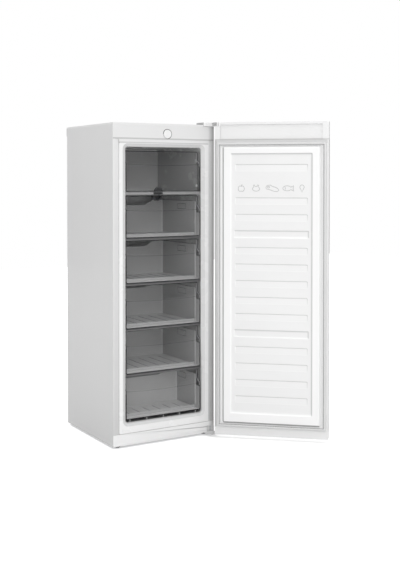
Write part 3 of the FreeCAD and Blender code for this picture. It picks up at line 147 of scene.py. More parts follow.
def dimmed(mat, low, *masks):
    """Paint shade into a material: darken it down to a share where every mask is off.

    A mask is what it measures, a direction, and the values where it is off and on.
    """
    tree = mat.node_tree
    base = tree.nodes["Principled BSDF"].inputs["Base Color"]
    source = base.links[0].from_socket
    level = None
    for output, way, off, on in masks:
        span = tree.nodes.new("ShaderNodeMapRange")
        span.inputs["From Min"].default_value = off
        span.inputs["From Max"].default_value = on
        span.inputs["To Min"].default_value = low
        tree.links.new(along(tree, output, way), span.inputs["Value"])
        if level is None:
            level = span.outputs["Result"]
            continue
        more = tree.nodes.new("ShaderNodeMath")
        more.operation = "MAXIMUM"
        tree.links.new(level, more.inputs[0])
        tree.links.new(span.outputs["Result"], more.inputs[1])
        level = more.outputs["Value"]
    multiply_into(tree, source, level, base)
    return mat


LEFT, AHEAD, UP = Vector((-1.0, 0.0, 0.0)), Vector((0.0, -1.0, 0.0)), Vector((0.0, 0.0, 1.0))
RIGHT = -LEFT
DOOR_OUT = Vector((-math.sin(OPEN_ANGLE), math.cos(OPEN_ANGLE), 0.0))
DOOR_FREE = Vector((-math.cos(OPEN_ANGLE), -math.sin(OPEN_ANGLE), 0.0))
# DOOR_LIT is the direction of the painted light on the door's inner side and caps
DOOR_LIT = 0.75 * DOOR_OUT + 0.43 * DOOR_FREE + 0.5 * UP
PIN_OUT = MM * (DOOR_OUT.x * PIN_X + DOOR_OUT.y * PIN_Y)
PIN_FREE = MM * (DOOR_FREE.x * PIN_X + DOOR_FREE.y * PIN_Y)
# RIGHT_END marks where painted shade of the open door falls on the cabinet's right end
RIGHT_END = ("Object", RIGHT, 0.298, 0.262)
DOOR_OUTSIDE = ("Normal", DOOR_OUT, -0.2, -0.6)


def door_plane(y):
    """Distance along DOOR_OUT, in metres, of the open door's plane that lies at y when it is shut."""
    return PIN_OUT + MM * (y - PIN_Y)


def surface(name, colour, rough, variation=0.008, cloud=3.0, grain=900.0, bump=0.02, depth=0.0002,
            rough_spread=0.02, facing=None, **inputs):
    """Surface with cloudy colour variation, uneven gloss and a fine moulded or painted grain."""
    mat, bsdf = shader(name, **inputs)
    links = mat.node_tree.links
    clouds = noise_of(mat, cloud, 4.0, 0.55)
    tint = ramp_of(mat, clouds, shade(colour, 1 - variation), shade(colour, 1 + variation * 0.5))
    links.new(tint.outputs["Color"], bsdf.inputs["Base Color"])
    gloss = ramp_of(mat, noise_of(mat, cloud * 4, 3.0, 0.6), max(0.02, rough - rough_spread),
                    min(1.0, rough + rough_spread))
    links.new(gloss.outputs["Color"], bsdf.inputs["Roughness"])
    # given facing, light and shade are painted into the colour by how the surface turns
    if facing:
        faced(mat, tint, bsdf, *facing)
    fine = noise_of(mat, grain, 2.0, 0.5)
    relief = mat.node_tree.nodes.new("ShaderNodeBump")
    relief.inputs["Strength"].default_value = bump
    relief.inputs["Distance"].default_value = depth
    links.new(fine.outputs["Fac"], relief.inputs["Height"])
    links.new(relief.outputs["Normal"], bsdf.inputs["Normal"])
    return mat


def painted_steel(name):
    """White paint with painted shade, a little darker near the floor."""
    paint = surface(name, grey(0.755), 0.34, grain=520.0, bump=0.08, Coat_Weight=0.15)
    return dimmed(paint, 0.79, ("Object", UP, 0.1, 1.6))


def front_plastic(name, tint):
    """White plastic of the cabinet's front, with painted shade of the open door darkening its right
    end.
    """
    return dimmed(surface(name, grey(tint), 0.30, grain=1400.0, bump=0.05), 0.42, RIGHT_END)


def seam_shade(mat, share, low, width):
    """Painted shade of a seam: a dark band of a given width above a piece's lower edge, mm."""
    return dimmed(mat, share, ("Object", UP, MM * (low + 0.6 * width), MM * (low + width)))


def door_front_paint():
    """Door paint with painted shade: a darker free edge, a darker strip beside the hinge and a dark
    line at the outer corner.
    """
    mat = surface("door_paint", grey(0.74), 0.34, grain=520.0, bump=0.10, Coat_Weight=0.15, facing=(
        DOOR_FREE, ((0.0, 1.0), (0.5, 1.0), (0.85, 0.45), (1.0, 0.45))))
    dimmed(mat, 0.68, ("Object", DOOR_FREE, PIN_FREE + 0.003, PIN_FREE + 0.006),
           ("Normal", DOOR_OUT, 0.5, 0.2))
    outer = door_plane(DOOR_BACK)
    return dimmed(mat, 0.52, ("Object", DOOR_OUT, outer + 0.006, outer + 0.013), DOOR_OUTSIDE)


def inner_door_plastic():
    """Painted light and shade: bright rim, slightly darker sunk field and a darker strip at the top
    edge, each face lit by how it turns to DOOR_LIT.
    """
    mat = surface("door_liner_plastic", grey(0.92), 0.30, grain=420.0, bump=0.02, facing=(
        DOOR_LIT, ((0.0, 0.42), (0.30, 0.55), (0.62, 0.84), (0.74, 0.94), (0.90, 1.03))))
    field = door_plane(DOOR_FACE + FIELD_HEIGHT)
    dimmed(mat, 0.92, ("Object", DOOR_OUT, field, field + 0.004))
    return dimmed(mat, 0.78, ("Object", UP, 1.552, 1.548))


def cap_plastic(name):
    """White plastic of the door's caps, with painted light and shade by how each face turns to
    DOOR_LIT.
    """
    return surface(name, grey(0.85), 0.36, grain=1200.0, bump=0.06, facing=(
        DOOR_LIT, ((0.0, 0.45), (0.30, 0.60), (0.62, 0.86), (0.74, 0.92), (0.90, 1.0)), True))


painted = painted_steel("painted_steel")
# right side panel: painted shade of the open door on its front return
painted_right = dimmed(painted_steel("painted_steel_right"), 0.42, ("Normal", AHEAD, 0.8, 0.5),
                       ("Object", RIGHT, 0.2985, 0.266))
fascia_white = front_plastic("fascia_plastic", 0.83)
# fascia moulding and rail: painted shade in the seam above each one's lower edge
panel_white = seam_shade(front_plastic("fascia_moulding", 0.745), 0.70, CAP_HIGH, 9.0)
rail_white = seam_shade(front_plastic("rail_face", 0.745), 0.74, CAP_HIGH - RAIL_HEIGHT, 7.0)
top_white = surface("worktop_plastic", grey(0.77), 0.42, grain=1100.0, bump=0.22, depth=0.0004)
# liner: painted shade on faces turned away from the front and on its slanted flare, a painted highlight
# on the rounded corners between walls
liner_white = surface("liner_plastic", grey(0.86), 0.26, grain=420.0, bump=0.03, facing=(
    AHEAD, ((0.0, 0.62), (0.15, 0.62), (0.4, 1.08), (0.70, 1.08), (0.84, 0.70), (0.93, 0.80),
            (1.0, 0.97))))
# painted shade inside the liner near its floor, behind its front edge
dimmed(liner_white, 0.40, ("Object", AHEAD, 0.279, 0.284), ("Object", UP, 0.2, 0.5))
door_paint = door_front_paint()
door_liner_white = inner_door_plastic()
# pictogram outlines: grey as painted shade along the raised relief
outline_grey = surface("door_outline_plastic", grey(0.42), 0.34, grain=420.0, bump=0.02)
plaque_grey = surface("door_plaque_plastic", grey(0.80), 0.34, grain=420.0, bump=0.02)
cap_white = cap_plastic("cap_plastic")
# top cap: painted shade below its top band, but not on the door's outer side
cap_top = dimmed(cap_plastic("cap_moulding"), 0.74, ("Object", UP, 1.571, 1.575), DOOR_OUTSIDE)
# shelf strips: their dark tone is painted shade of the gaps between the compartments, the top strip
# painted lighter as less shaded
trim_pale = surface("top_strip_plastic", (0.27, 0.27, 0.272), 0.28, grain=1200.0, bump=0.06)
trim_grey = surface("strip_plastic", (0.11, 0.11, 0.112), 0.30, grain=1200.0, bump=0.06)
# basket walls: painted shade on faces turned to the left, such as the right-hand wall, and a painted
# highlight on the rounded corners
tub_wall = surface("basket_plastic", grey(0.90), 0.24, grain=400.0, bump=0.04, facing=(
    LEFT, ((0.0, 0.97), (0.25, 0.97), (0.45, 1.1), (0.70, 1.1), (0.92, 0.60), (1.0, 0.60))))
# basket floor: the same plastic as the walls, painted lighter as painted light falling on it
tub_floor = surface("basket_floor", grey(0.93), 0.22, grain=400.0, bump=0.04)
tub_sill = surface("basket_sill", grey(0.66), 0.26, grain=400.0, bump=0.04)
# pale strips in the baskets' front corners: their tone is a painted highlight of the lit corner
tub_strip = surface("basket_corner", (0.74, 0.74, 0.745), 0.26, grain=400.0, bump=0.04)
tub_mark = surface("basket_edges", (0.16, 0.165, 0.17), 0.24, grain=400.0, bump=0.06)
# near-black for the painted shade round the dial and on its pointer
dial_shade_grey = surface("dial_painted_shade", (0.09, 0.09, 0.092), 0.40, variation=0.05, grain=1500.0, bump=0.05)
gasket_grey = surface("gasket_rubber", grey(0.66), 0.55, variation=0.03, grain=1500.0, bump=0.2)
steel_zinc = surface("zinc_steel", (0.52, 0.54, 0.56), 0.38, variation=0.12, cloud=30.0, grain=300.0,
                     bump=0.05, Metallic=0.85)
back_steel = surface("galvanised_back", (0.55, 0.57, 0.58), 0.45, variation=0.12, cloud=40.0,
                     grain=300.0, bump=0.06, Metallic=0.6)
shelf_white = surface("shelf_enamel", (0.74, 0.75, 0.75), 0.3, grain=700.0, bump=0.05)
tube_white = surface("tube_enamel", (0.70, 0.71, 0.72), 0.35, grain=700.0, bump=0.05)
copper = surface("copper_tube", (0.70, 0.34, 0.20), 0.32, variation=0.25, cloud=60.0, grain=500.0,
                 bump=0.05, Metallic=1.0)
black_paint = surface("compressor_paint", (0.018, 0.018, 0.02), 0.38, variation=0.3, cloud=25.0,
                      grain=600.0, bump=0.1)
black_plastic = surface("black_plastic", (0.025, 0.025, 0.027), 0.5, variation=0.2, cloud=30.0,
                        grain=1200.0, bump=0.2)
grip_dark = surface("grip_plastic", (0.030, 0.031, 0.033), 0.30, variation=0.2, cloud=60.0,
                    grain=1500.0, bump=0.1)
ear_pale = surface("flap_ear_plastic", (0.62, 0.62, 0.63), 0.25, grain=1200.0, bump=0.06)
rubber = surface("rubber", (0.03, 0.03, 0.03), 0.7, variation=0.2, cloud=60.0, grain=1500.0, bump=0.2)
foam_mat = surface("insulation", (0.50, 0.49, 0.46), 0.85, variation=0.12, cloud=60.0, grain=700.0,
                   bump=0.6, depth=0.001)
bush_white = surface("bush_plastic", (0.66, 0.66, 0.63), 0.4, grain=1200.0, bump=0.1)


def clear_plastic(name, alpha):
    """Smoky clear plastic: dark, see-through, glossy, a little uneven."""
    mat = surface(name, (0.045, 0.046, 0.049), 0.10, variation=0.15, cloud=12.0, grain=60.0, bump=0.02,
                  depth=0.001, rough_spread=0.03, IOR=1.52)
    bsdf = mat.node_tree.nodes["Principled BSDF"]
    bsdf.inputs["Alpha"].default_value = alpha
    return mat


clear = clear_plastic("smoky_clear", 0.155)
clear_line = clear_plastic("smoky_line", 0.45)
rim_dark = surface("smoky_rim", (0.014, 0.014, 0.015), 0.35, variation=0.25, cloud=30.0, grain=200.0,
                   bump=0.03)

LOOKS = {
    "left_side_panel": painted, "right_side_panel": painted_right, "rear_panel": back_steel,
    "worktop": top_white, "control_panel": panel_white, "top_rail": rail_white,
    "plinth": fascia_white, "base_plate": steel_zinc,
    "machine_bay_sheet": steel_zinc, "inner_liner": liner_white, "cabinet_foam": foam_mat,
    "door_foam": foam_mat, "condenser_coil": steel_zinc, "evaporator_coil": tube_white,
    "evaporator_risers": tube_white, "shelf_trims": trim_grey, "flap_pivots": liner_white,
    "flap_catch": grip_dark, "drawer_1_grip": grip_dark, "thermostat": black_plastic,
    "thermostat_knob": fascia_white, "left_foot": black_plastic, "right_foot": black_plastic,
    "rear_feet": black_plastic, "compressor": black_paint, "compressor_mounts": rubber,
    "mount_pins": steel_zinc, "terminal_box": black_plastic, "refrigerant_pipes": copper,
    "filter_drier": copper, "top_hinge": steel_zinc, "top_hinge_cover": cap_white,
    "lower_hinge": painted, "hinge_screws": steel_zinc, "rear_screws": steel_zinc,
    "door_skin": door_paint, "door_top_cap": cap_top,
    "door_bottom_cap": cap_white, "door_liner": door_liner_white, "door_gasket": gasket_grey,
    "gasket_magnet": rubber, "hinge_bushes": bush_white, "flap": clear,
}


def look_of(name):
    """Material of a CAD node."""
    if name in LOOKS:
        return LOOKS[name]
    if name.startswith("shelf_"):
        return shelf_white
    return tub_wall if name.endswith("_tub") else clear


for name, obj in nodes.items():
    obj.data.materials.clear()
    obj.data.materials.append(look_of(name))


def softened(name, width):
    """Small rounded edges on a CAD panel, so that its seams catch the light."""
    weld = nodes[name].modifiers.new("weld", "WELD")
    weld.merge_threshold = 0.00001
    bevel = nodes[name].modifiers.new("edges", "BEVEL")
    bevel.width = width * MM
    bevel.segments = 2
    bevel.angle_limit = math.radians(40)


for name in ("control_panel", "top_rail", "plinth"):
    softened(name, 1.1)


# ---------------------------------------- mesh helpers, all in mm
def publish(name, bm, material, body, replaced=(), turn=False, smooth=40.0):
    """Make an object from a bmesh in mm; door pieces are built closed and turned open."""
    bmesh.ops.remove_doubles(bm, verts=bm.verts, dist=0.001)
    bmesh.ops.recalc_face_normals(bm, faces=bm.faces)
    if turn:
        bmesh.ops.transform(bm, matrix=DOOR_TURN, verts=bm.verts)
    bmesh.ops.scale(bm, vec=(MM, MM, MM), verts=bm.verts)
    mesh = bpy.data.meshes.new(name)
    bm.to_mesh(mesh)
    bm.free()
    mesh.materials.append(material)
    for face in mesh.polygons:
        face.use_smooth = True
    mesh.set_sharp_from_angle(angle=math.radians(smooth))
    obj = bpy.data.objects.new(name, mesh)
    bpy.context.collection.objects.link(obj)
    if replaced:
        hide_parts(*replaced)
    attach(obj, body)


def pivot_matrix():
    """Turn of a closed door piece about the hinge pins, in mm."""
    to_pin = Matrix.Translation((PIN_X, PIN_Y, 0))
    return to_pin @ Matrix.Rotation(OPEN_ANGLE, 4, "Z") @ to_pin.inverted()


DOOR_TURN = pivot_matrix()


def block(bm, x0, x1, y0, y1, z0, z1, bevel=0.0, segments=2):
    """Box with rounded edges."""
    made = bmesh.ops.create_cube(bm, size=1.0)["verts"]
    bmesh.ops.scale(bm, vec=(x1 - x0, y1 - y0, z1 - z0), verts=made)
    bmesh.ops.translate(bm, vec=((x0 + x1) / 2, (y0 + y1) / 2, (z0 + z1) / 2), verts=made)
    if bevel:
        edges = list({e for v in made for e in v.link_edges})
        bmesh.ops.bevel(bm, geom=edges, offset=bevel, segments=segments, profile=0.5, affect="EDGES")


def rounded_loop(x0, x1, z0, z1, radius, steps=6):
    """Points of a rounded rectangle in (x, z) with their outward normals."""
    points = []
    corners = ((x1 - radius, z0 + radius, -90), (x1 - radius, z1 - radius, 0),
               (x0 + radius, z1 - radius, 90), (x0 + radius, z0 + radius, 180))
    for cx, cz, start in corners:
        for step in range(steps + 1):
            a = math.radians(start + 90.0 * step / steps)
            nx, nz = math.cos(a), math.sin(a)
            points.append((cx + radius * nx, cz + radius * nz, nx, nz))
    return points


def swept_frame(bm, loop, profile):
    """Sweep a closed profile of (outward offset, y) points round a loop in the (x, z) plane."""
    rings = []
    for x, z, nx, nz in loop:
        rings.append([bm.verts.new((x + nx * out, y, z + nz * out)) for out, y in profile])
    count = len(profile)
    for index, ring in enumerate(rings):
        after = rings[(index + 1) % len(rings)]
        for k in range(count):
            bm.faces.new((ring[k], ring[(k + 1) % count], after[(k + 1) % count], after[k]))


def tube(bm, points, radius, sides=8, closed=False):
    """Round bar along a polyline."""
    path = [Vector(p) for p in points]
    rings = []
    for index, point in enumerate(path):
        before = path[index - 1] if index or closed else point
        after = path[(index + 1) % len(path)] if index + 1 < len(path) or closed else point
        way = (after - before).normalized()
        side = way.cross(Vector((0, 1, 0)) if abs(way.y) < 0.9 else Vector((1, 0, 0))).normalized()
        up = side.cross(way).normalized()
        turns = [2 * math.pi * k / sides for k in range(sides)]
        rings.append([bm.verts.new(point + side * (radius * math.cos(t)) + up * (radius * math.sin(t)))
                      for t in turns])
    spans = len(rings) if closed else len(rings) - 1
    for index in range(spans):
        ring, after = rings[index], rings[(index + 1) % len(rings)]
        for k in range(sides):
            bm.faces.new((ring[k], ring[(k + 1) % sides], after[(k + 1) % sides], after[k]))
    if not closed:
        bm.faces.new(rings[0])
        bm.faces.new(rings[-1])


def smoothstep(value, start, end):
    """Rise from 0 to 1 between two values, level at both."""
    t = min(1.0, max(0.0, (value - start) / (end - start)))
    return t * t * (3 - 2 * t)


def outside_of(x, z, half_x, z0, z1, radius):
    """Signed distance to a rounded rectangle centred on x = 0, negative inside."""
    dx = abs(x) - half_x + radius
    dz = abs(z - (z0 + z1) / 2) - (z1 - z0) / 2 + radius
    return math.hypot(max(dx, 0.0), max(dz, 0.0)) + min(max(dx, dz), 0.0) - radius


# ---------------------------------------- the door's inner face
RIB_TOP = 1440.0
RIB_PITCH = 86.4
RIB_HEIGHT = 35.0
RIB_HALF = 188.5
RIB_TOTAL = 15
BLANK_RIB = 1
BOLD_RIBS = (4, 10)
FIELD_X = 213.5
LINER_EDGE = 288.3
SEAL_EDGE = 286.0
SEAL_REACH = 21.0
FIELD_LOW, FIELD_HIGH = RIM_LOW + 52.0, RIM_HIGH - 37.0


def rib_box(index):
    """Half width, lower and upper edge of a rib."""
    top = RIB_TOP - RIB_PITCH * index
    bold = 3.0 if index in BOLD_RIBS else 0.0
    half = RIB_HALF + (7.0 if index in BOLD_RIBS else 0.0)
    return half, top - RIB_HEIGHT - bold, top + bold


def liner_height(x, z):
    """Height of the door liner over the door's inner plane."""
    margin = outside_of(x, z, RIM_X, RIM_LOW, RIM_HIGH, 9.0)
    height = 1.5 + 7.5 * smoothstep(-margin, 0.0, 8.0)
    height -= 1.1 * (smoothstep(margin, -0.6, 0.6) - smoothstep(margin, 2.0, 3.4))
    sunk = outside_of(x, z, FIELD_X, FIELD_LOW, FIELD_HIGH, 6.0)
    height -= 4.0 * smoothstep(-sunk, -1.5, 7.0)
    index = round((RIB_TOP - RIB_HEIGHT / 2 - z) / RIB_PITCH)
    if 0 <= index < RIB_TOTAL and index != BLANK_RIB:
        half, low, high = rib_box(index)
        inside = -outside_of(x, z, half, low, high, 5.0)
        if inside > -1.5:
            across = (z - low) / (high - low)
            if index in BOLD_RIBS:
                height -= 2.8 * smoothstep(inside, -0.8, 7.0)
            else:
                slope = 0.25 + 0.75 * smoothstep(across, 0.0, 1.0)
                height -= 1.9 * smoothstep(inside, -0.8, 2.2) * slope
    return height


def grid_lines(low, high, step, marks, reach, fine):
    """Even lines with finer ones round each mark."""
    lines = {low, high}
    count = max(1, round((high - low) / step))
    for k in range(1, count):
        value = low + (high - low) * k / count
        if all(abs(value - m) > reach for m in marks):
            lines.add(round(value, 3))
    for mark in marks:
        k = -reach
        while k <= reach + 1e-6:
            if low < mark + k < high:
                lines.add(round(mark + k, 3))
            k += fine
    ordered = sorted(lines)
    kept = [ordered[0]]
    for value in ordered[1:]:
        if value - kept[-1] > 0.45:
            kept.append(value)
    kept[-1] = ordered[-1]
    return kept


def door_liner():
    """Raised rim, sunk field and its ribs as one closed moulding."""
    edge = LINER_EDGE
    x_marks = [s * v for v in (RIM_X - 3.0, FIELD_X, RIB_HALF + 0.5) for s in (-1, 1)]
    z_marks = [RIM_LOW + 3.0, RIM_HIGH - 3.0, FIELD_LOW, FIELD_HIGH]
    for index in range(RIB_TOTAL):
        if index != BLANK_RIB:
            low, high = rib_box(index)[1:]
            z_marks += [low + 1.0, high - 1.0]
    xs = grid_lines(-edge, edge, 22.0, x_marks, 7.0, 1.4)
    zs = grid_lines(CAP_LOW + 0.2, CAP_HIGH - 0.2, 9.0, z_marks, 5.0, 1.25)
    bm = bmesh.new()
    grid = [[bm.verts.new((x, DOOR_FACE + liner_height(x, z), z)) for x in xs] for z in zs]
    for j in range(len(zs) - 1):
        for i in range(len(xs) - 1):
            bm.faces.new((grid[j][i], grid[j][i + 1], grid[j + 1][i + 1], grid[j + 1][i]))
    rim = grid[0] + [row[-1] for row in grid[1:]]
    rim += grid[-1][-2::-1] + [row[0] for row in grid[-2:0:-1]]
    back = [bm.verts.new((v.co.x, DOOR_FACE + 0.05, v.co.z)) for v in rim]
    for k in range(len(rim)):
        bm.faces.new((rim[k], rim[(k + 1) % len(rim)], back[(k + 1) % len(rim)], back[k]))
    bm.faces.new(back)
    publish("door_liner_moulding", bm, door_liner_white, "door", ("door_liner",), True)


def ridge(name, outlines, width, height, material):
    """Raised outlines on the liner's field; each is a list of (x, z) points and a closed flag."""
    bm = bmesh.new()
    base = DOOR_FACE + FIELD_HEIGHT
    for points, closed in outlines:
        tube(bm, [(x, base + height - width / 2, z) for x, z in points], width / 2, 8, closed)
    publish(name, bm, material, "door", (), True)


def arc_points(cx, cz, rx, rz, start, end, steps=12):
    """Points (x, z) of an elliptic arc between two angles in degrees."""
    turns = [math.radians(start + (end - start) * k / steps) for k in range(steps + 1)]
    return [(cx + rx * math.cos(t), cz + rz * math.sin(t)) for t in turns]


def apple():
    body = arc_points(-6, -2, 10, 14, 70, 290, 14) + arc_points(6, -2, 10, 14, -110, 110, 14)
    return [(body, True), ([(0, 9), (1, 15), (5, 20)], False)]


def poultry():
    body = arc_points(0, -3, 19, 12, 150, 390, 16)
    legs = [(16, 3), (10, 8), (14, 17), (8, 18), (4, 9), (-5, 9), (-9, 18), (-15, 17), (-11, 8),
            (-16, 3)]
    return [(body + legs, True)]


def steak():
    outer = [(-34, 6), (-26, 15), (-12, 17), (2, 9), (16, 5), (28, -1), (34, -10), (26, -17), (10, -16),
             (-6, -10), (-20, -6), (-32, -3)]
    return [(outer, True), (arc_points(-20, 6, 6, 4, 0, 345, 12), True)]


def fish():
    body = arc_points(-6, 0, 22, 13, 25, 335, 20)
    tail = [(22, -11), (28, -15), (25, 0), (28, 15), (22, 11)]
    return [(body + tail, True), (arc_points(-20, 0, 5, 8, -60, 60, 6), False)]


def cone():
    cup = [(-9, 2), (0, -20), (9, 2)]
    return [(cup + arc_points(0, 6, 11, 12, -20, 200, 12), True)]


def pictograms():
    """Food outlines moulded into the field where one rib is left out."""
    z = 1316.0
    places = ((apple, 141.0), (poultry, 219.0), (steak, 304.0), (fish, 386.0), (cone, 457.0))
    outlines = []
    for draw, s in places:
        for points, closed in draw():
            outlines.append(([(HALF - s - px, z + pz) for px, pz in points], closed))
    ridge("door_pictograms", outlines, 3.0, 1.0, outline_grey)
    plate = rounded_loop(HALF - 348.0, HALF - 234.0, 1362.0, 1397.0, 6.0, 5)
    ridge("door_plaque", [([point[:2] for point in plate], True)], 2.0, 0.5, plaque_grey)


def door_gasket():
    """Bellows seal with a rounded head, swept round the door."""
    low, high = RIM_LOW - SEAL_REACH, RIM_HIGH + SEAL_REACH
    profile = [(-20.0, 1.55), (-20.0, 2.2), (-18.0, 3.4), (-15.6, 6.2), (-14.2, 9.4), (-12.4, 11.3),
               (-10.0, 11.7), (-6.0, 11.65), (-3.6, 10.8), (-2.2, 8.6), (-1.6, 5.6), (-0.8, 3.4),
               (0.0, 2.4), (0.0, 1.55)]
    bm = bmesh.new()
    loop = rounded_loop(-SEAL_EDGE, SEAL_EDGE, low, high, 3.0, 3)
    swept_frame(bm, loop, [(o, DOOR_FACE + y) for o, y in profile])
    publish("door_seal", bm, gasket_grey, "door", ("door_gasket",), True, 50.0)


door_liner()
pictograms()
door_gasket()


def dial_shade():
    """Painted shade: dark open ring in the gap round the dial, and two short dark strokes for the
    pointer's shaded flanks, which its disc covers.
    """
    bm = bmesh.new()
    y = FRONT + 1.9
    arc = arc_points(DIAL_X, DIAL_Z, 24.25, 24.25, -75.0, 178.0, 40)
    tube(bm, [(x, y, z) for x, z in arc], 1.7, 8)
    for x, z in ((-12.0, -7.0), (12.0, 7.0)):
        tube(bm, [(DIAL_X + x * k / 4, y, DIAL_Z + 2.0 + z * k / 4) for k in range(1, 5)], 1.0, 8)
    publish("dial_shade_ring", bm, dial_shade_grey, "cabinet", (), False, 50.0)


dial_shade()


# ---------------------------------------- clear fronts
FRONT_WALL = 2.8
CREASE = 141.0
CREASE_DIP = 6.0
SETBACK = 28.0
CHEEK_DEPTH = 30.7
TRIM_HEIGHT = 10.5
TOP_TRIM_HEIGHT = 13.0
TRIM_FRONT, TRIM_BACK = FRONT + 12.0, FRONT + 26.0
LUG_X = -35.0
LUG_RADIUS = 25.0


def face_depth(z, low, share):
    """How far a front's face lies behind its lower plane; share runs from -1 to 1 across."""
    crease = low + CREASE - CREASE_DIP * (1 - share * share)
    return SETBACK * smoothstep(z, crease + 2.0, crease + 29.0)


def step_heights(low):
    """Heights from which a front's set-back step is drawn at its ends."""
    return [low + CREASE + 3.0 * k for k in range(1, 11)]


def front_shell(bm, low, height, half):
    """Thin see-through wall: flat below, set back above a sagging crease."""
    columns = [-half + half * k / 14 for k in range(29)]
    rows = [low + 0.6, low + 40.0, low + 90.0] + [low + 130.0 + 2.5 * k for k in range(19)]
    rows += [low + height - 20.0, low + height - 0.6]
    layers = []
    for shift in (0.0, FRONT_WALL):
        layers.append([[bm.verts.new((x, FACE_Y + shift + face_depth(z, low, x / half), z))
                        for x in columns] for z in rows])
    outer, inner = layers
    last_row, last_column = len(rows) - 1, len(columns) - 1
    for j in range(last_row):
        for i in range(last_column):
            bm.faces.new((outer[j][i], outer[j][i + 1], outer[j + 1][i + 1], outer[j + 1][i]))
            bm.faces.new((inner[j][i], inner[j + 1][i], inner[j + 1][i + 1], inner[j][i + 1]))
    for i in range(last_column):
        for j in (0, last_row):
            bm.faces.new((outer[j][i], outer[j][i + 1], inner[j][i + 1], inner[j][i]))
    for j in range(last_row):
        for i in (0, last_column):
            bm.faces.new((outer[j][i], outer[j + 1][i], inner[j + 1][i], inner[j][i]))


def cheek_outline(low, height):
    """Side view (y, z) of a front's closed end, with rounded front corners."""
    radius = 6.7
    near, far = FACE_Y + 0.3, FACE_Y + CHEEK_DEPTH
    top, foot = low + height - 0.6, low + 0.6
    points = [(far, foot + 2.0), (far, top)]
    for start, cz in ((90, top - radius), (180, foot + radius)):
        for step in range(7):
            a = math.radians(start + 15 * step)
            points.append((near + radius + radius * math.cos(a), cz + radius * math.sin(a)))
    return points


def cheek(bm, side, outline):
    """Closed end of a front."""
    near = [bm.verts.new((side * 217.1, y, z)) for y, z in outline]
    far = [bm.verts.new((side * 219.8, y, z)) for y, z in outline]
    bm.faces.new(near)
    bm.faces.new(far)
    for k in range(len(outline)):
        after = (k + 1) % len(outline)
        bm.faces.new((near[k], near[after], far[after], far[k]))


def front_edges(bm, low, height, radius=1.9):
    """Thick rounded rim along a front's own profile, which reads as a dark line round it."""
    x, corner = 217.6, 6.0
    foot, top = low + 0.7 + radius, low + height - 0.7 - radius
    turns = [math.radians(15 * k) for k in range(1, 6)]
    rises = [foot + corner, foot + 60.0, low + CREASE] + step_heights(low) + [top - corner]
    side = [(x, z) for z in rises]
    inner = x - corner
    side = [(inner + corner * math.sin(t), foot + corner - corner * math.cos(t)) for t in turns] + side
    side += [(inner + corner * math.cos(t), top - corner + corner * math.sin(t)) for t in turns]
    right = [(inner, foot)] + side + [(inner, top)]
    loop = right + [(-px, z) for px, z in reversed(right)]
    path = [(px, FACE_Y + radius + 0.2 + face_depth(z, low, 1.0), z) for px, z in loop]
    tube(bm, path, radius, 8, True)


def clear_front(name, body, low, height, replaced):
    """See-through front with its dark rounded rim, a pale bead on its right side as a painted
    highlight, faint crease and closed ends.
    """
    half = 216.8
    bm = bmesh.new()
    front_shell(bm, low, height, half)
    for side in (-1, 1):
        cheek(bm, side, cheek_outline(low, height))
    publish(name, bm, clear, body, replaced, False, 35.0)
    rim = bmesh.new()
    front_edges(rim, low, height)
    publish(name + "_rim", rim, rim_dark, body, (), False, 50.0)
    # pale bead on the right end only: a painted highlight of the lit edge of the front's step
    bead = bmesh.new()
    rises = [low + CREASE - 10.0] + step_heights(low) + [low + height - 9.0]
    tube(bead, [(213.9, FACE_Y + 1.2 + face_depth(z, low, 1.0), z) for z in rises], 1.15, 8)
    publish(name + "_highlight_bead", bead, ear_pale, body, (), False, 50.0)
    crease = bmesh.new()
    shares = [k / 10 - 1 for k in range(21)]
    line = [(s * (half - 1), FACE_Y + 1.1, low + CREASE + 2 - CREASE_DIP * (1 - s * s)) for s in shares]
    tube(crease, line, 0.6, 6)
    publish(name + "_crease", crease, clear_line, body, (), False, 50.0)


def lug_half(bm, z, y0, y1, upper):
    """Half-round finger lug with a raised rim round a shallow dish."""
    way = 1 if upper else -1
    turns = [math.radians(way * 10 * k) for k in range(19)]
    rings = []
    for t in turns:
        c, s = math.cos(t), math.sin(t)
        profile = ((0.0, y1), (0.0, y0 + 0.8), (0.8, y0), (3.0, y0), (4.6, y0 + 1.2), (5.0, y1 - 2.0))
        places = [(LUG_RADIUS - inset, y) for inset, y in profile]
        rings.append([bm.verts.new((LUG_X + r * c, y, z + r * s)) for r, y in places])
    for ring, after in zip(rings, rings[1:]):
        for k in range(5):
            bm.faces.new((ring[k], ring[k + 1], after[k + 1], after[k]))
    bm.faces.new([ring[5] for ring in rings])
    bm.faces.new([ring[0] for ring in rings])
    bm.faces.new(rings[0] + list(reversed(rings[-1])))


def flap():
    """Clear flap with its ears, hinge pins and dark finger lug."""
    clear_front("flap_clear", "flap", FLAP_LOW, FLAP_HEIGHT, ("flap",))
    ears = bmesh.new()
    for side in (-1, 1):
        x0, x1 = sorted((side * 209.1, side * 211.9))
        block(ears, x0, x1, FACE_Y + 29.5, FRONT + 57.8, FLAP_LOW + 151.2, FLAP_LOW + 170.8, 1.2, 2)
        pin = [(side * (211.0 + 8.8 * k / 4), FRONT + 50.0, FLAP_LOW + 161.0) for k in range(5)]
        tube(ears, pin, 2.9, 16)
    publish("flap_ears", ears, ear_pale, "flap", (), False, 40.0)
    lug = bmesh.new()
    lug_half(lug, FLAP_LOW + 0.1, FACE_Y - 7.9, FACE_Y - 0.1, True)
    publish("flap_lug", lug, grip_dark, "flap", (), False, 40.0)


def front_low(number):
    """Lower edge of a drawer's front; drawer 1 is the top one."""
    return LOWEST + PITCH * (DRAWERS - number)


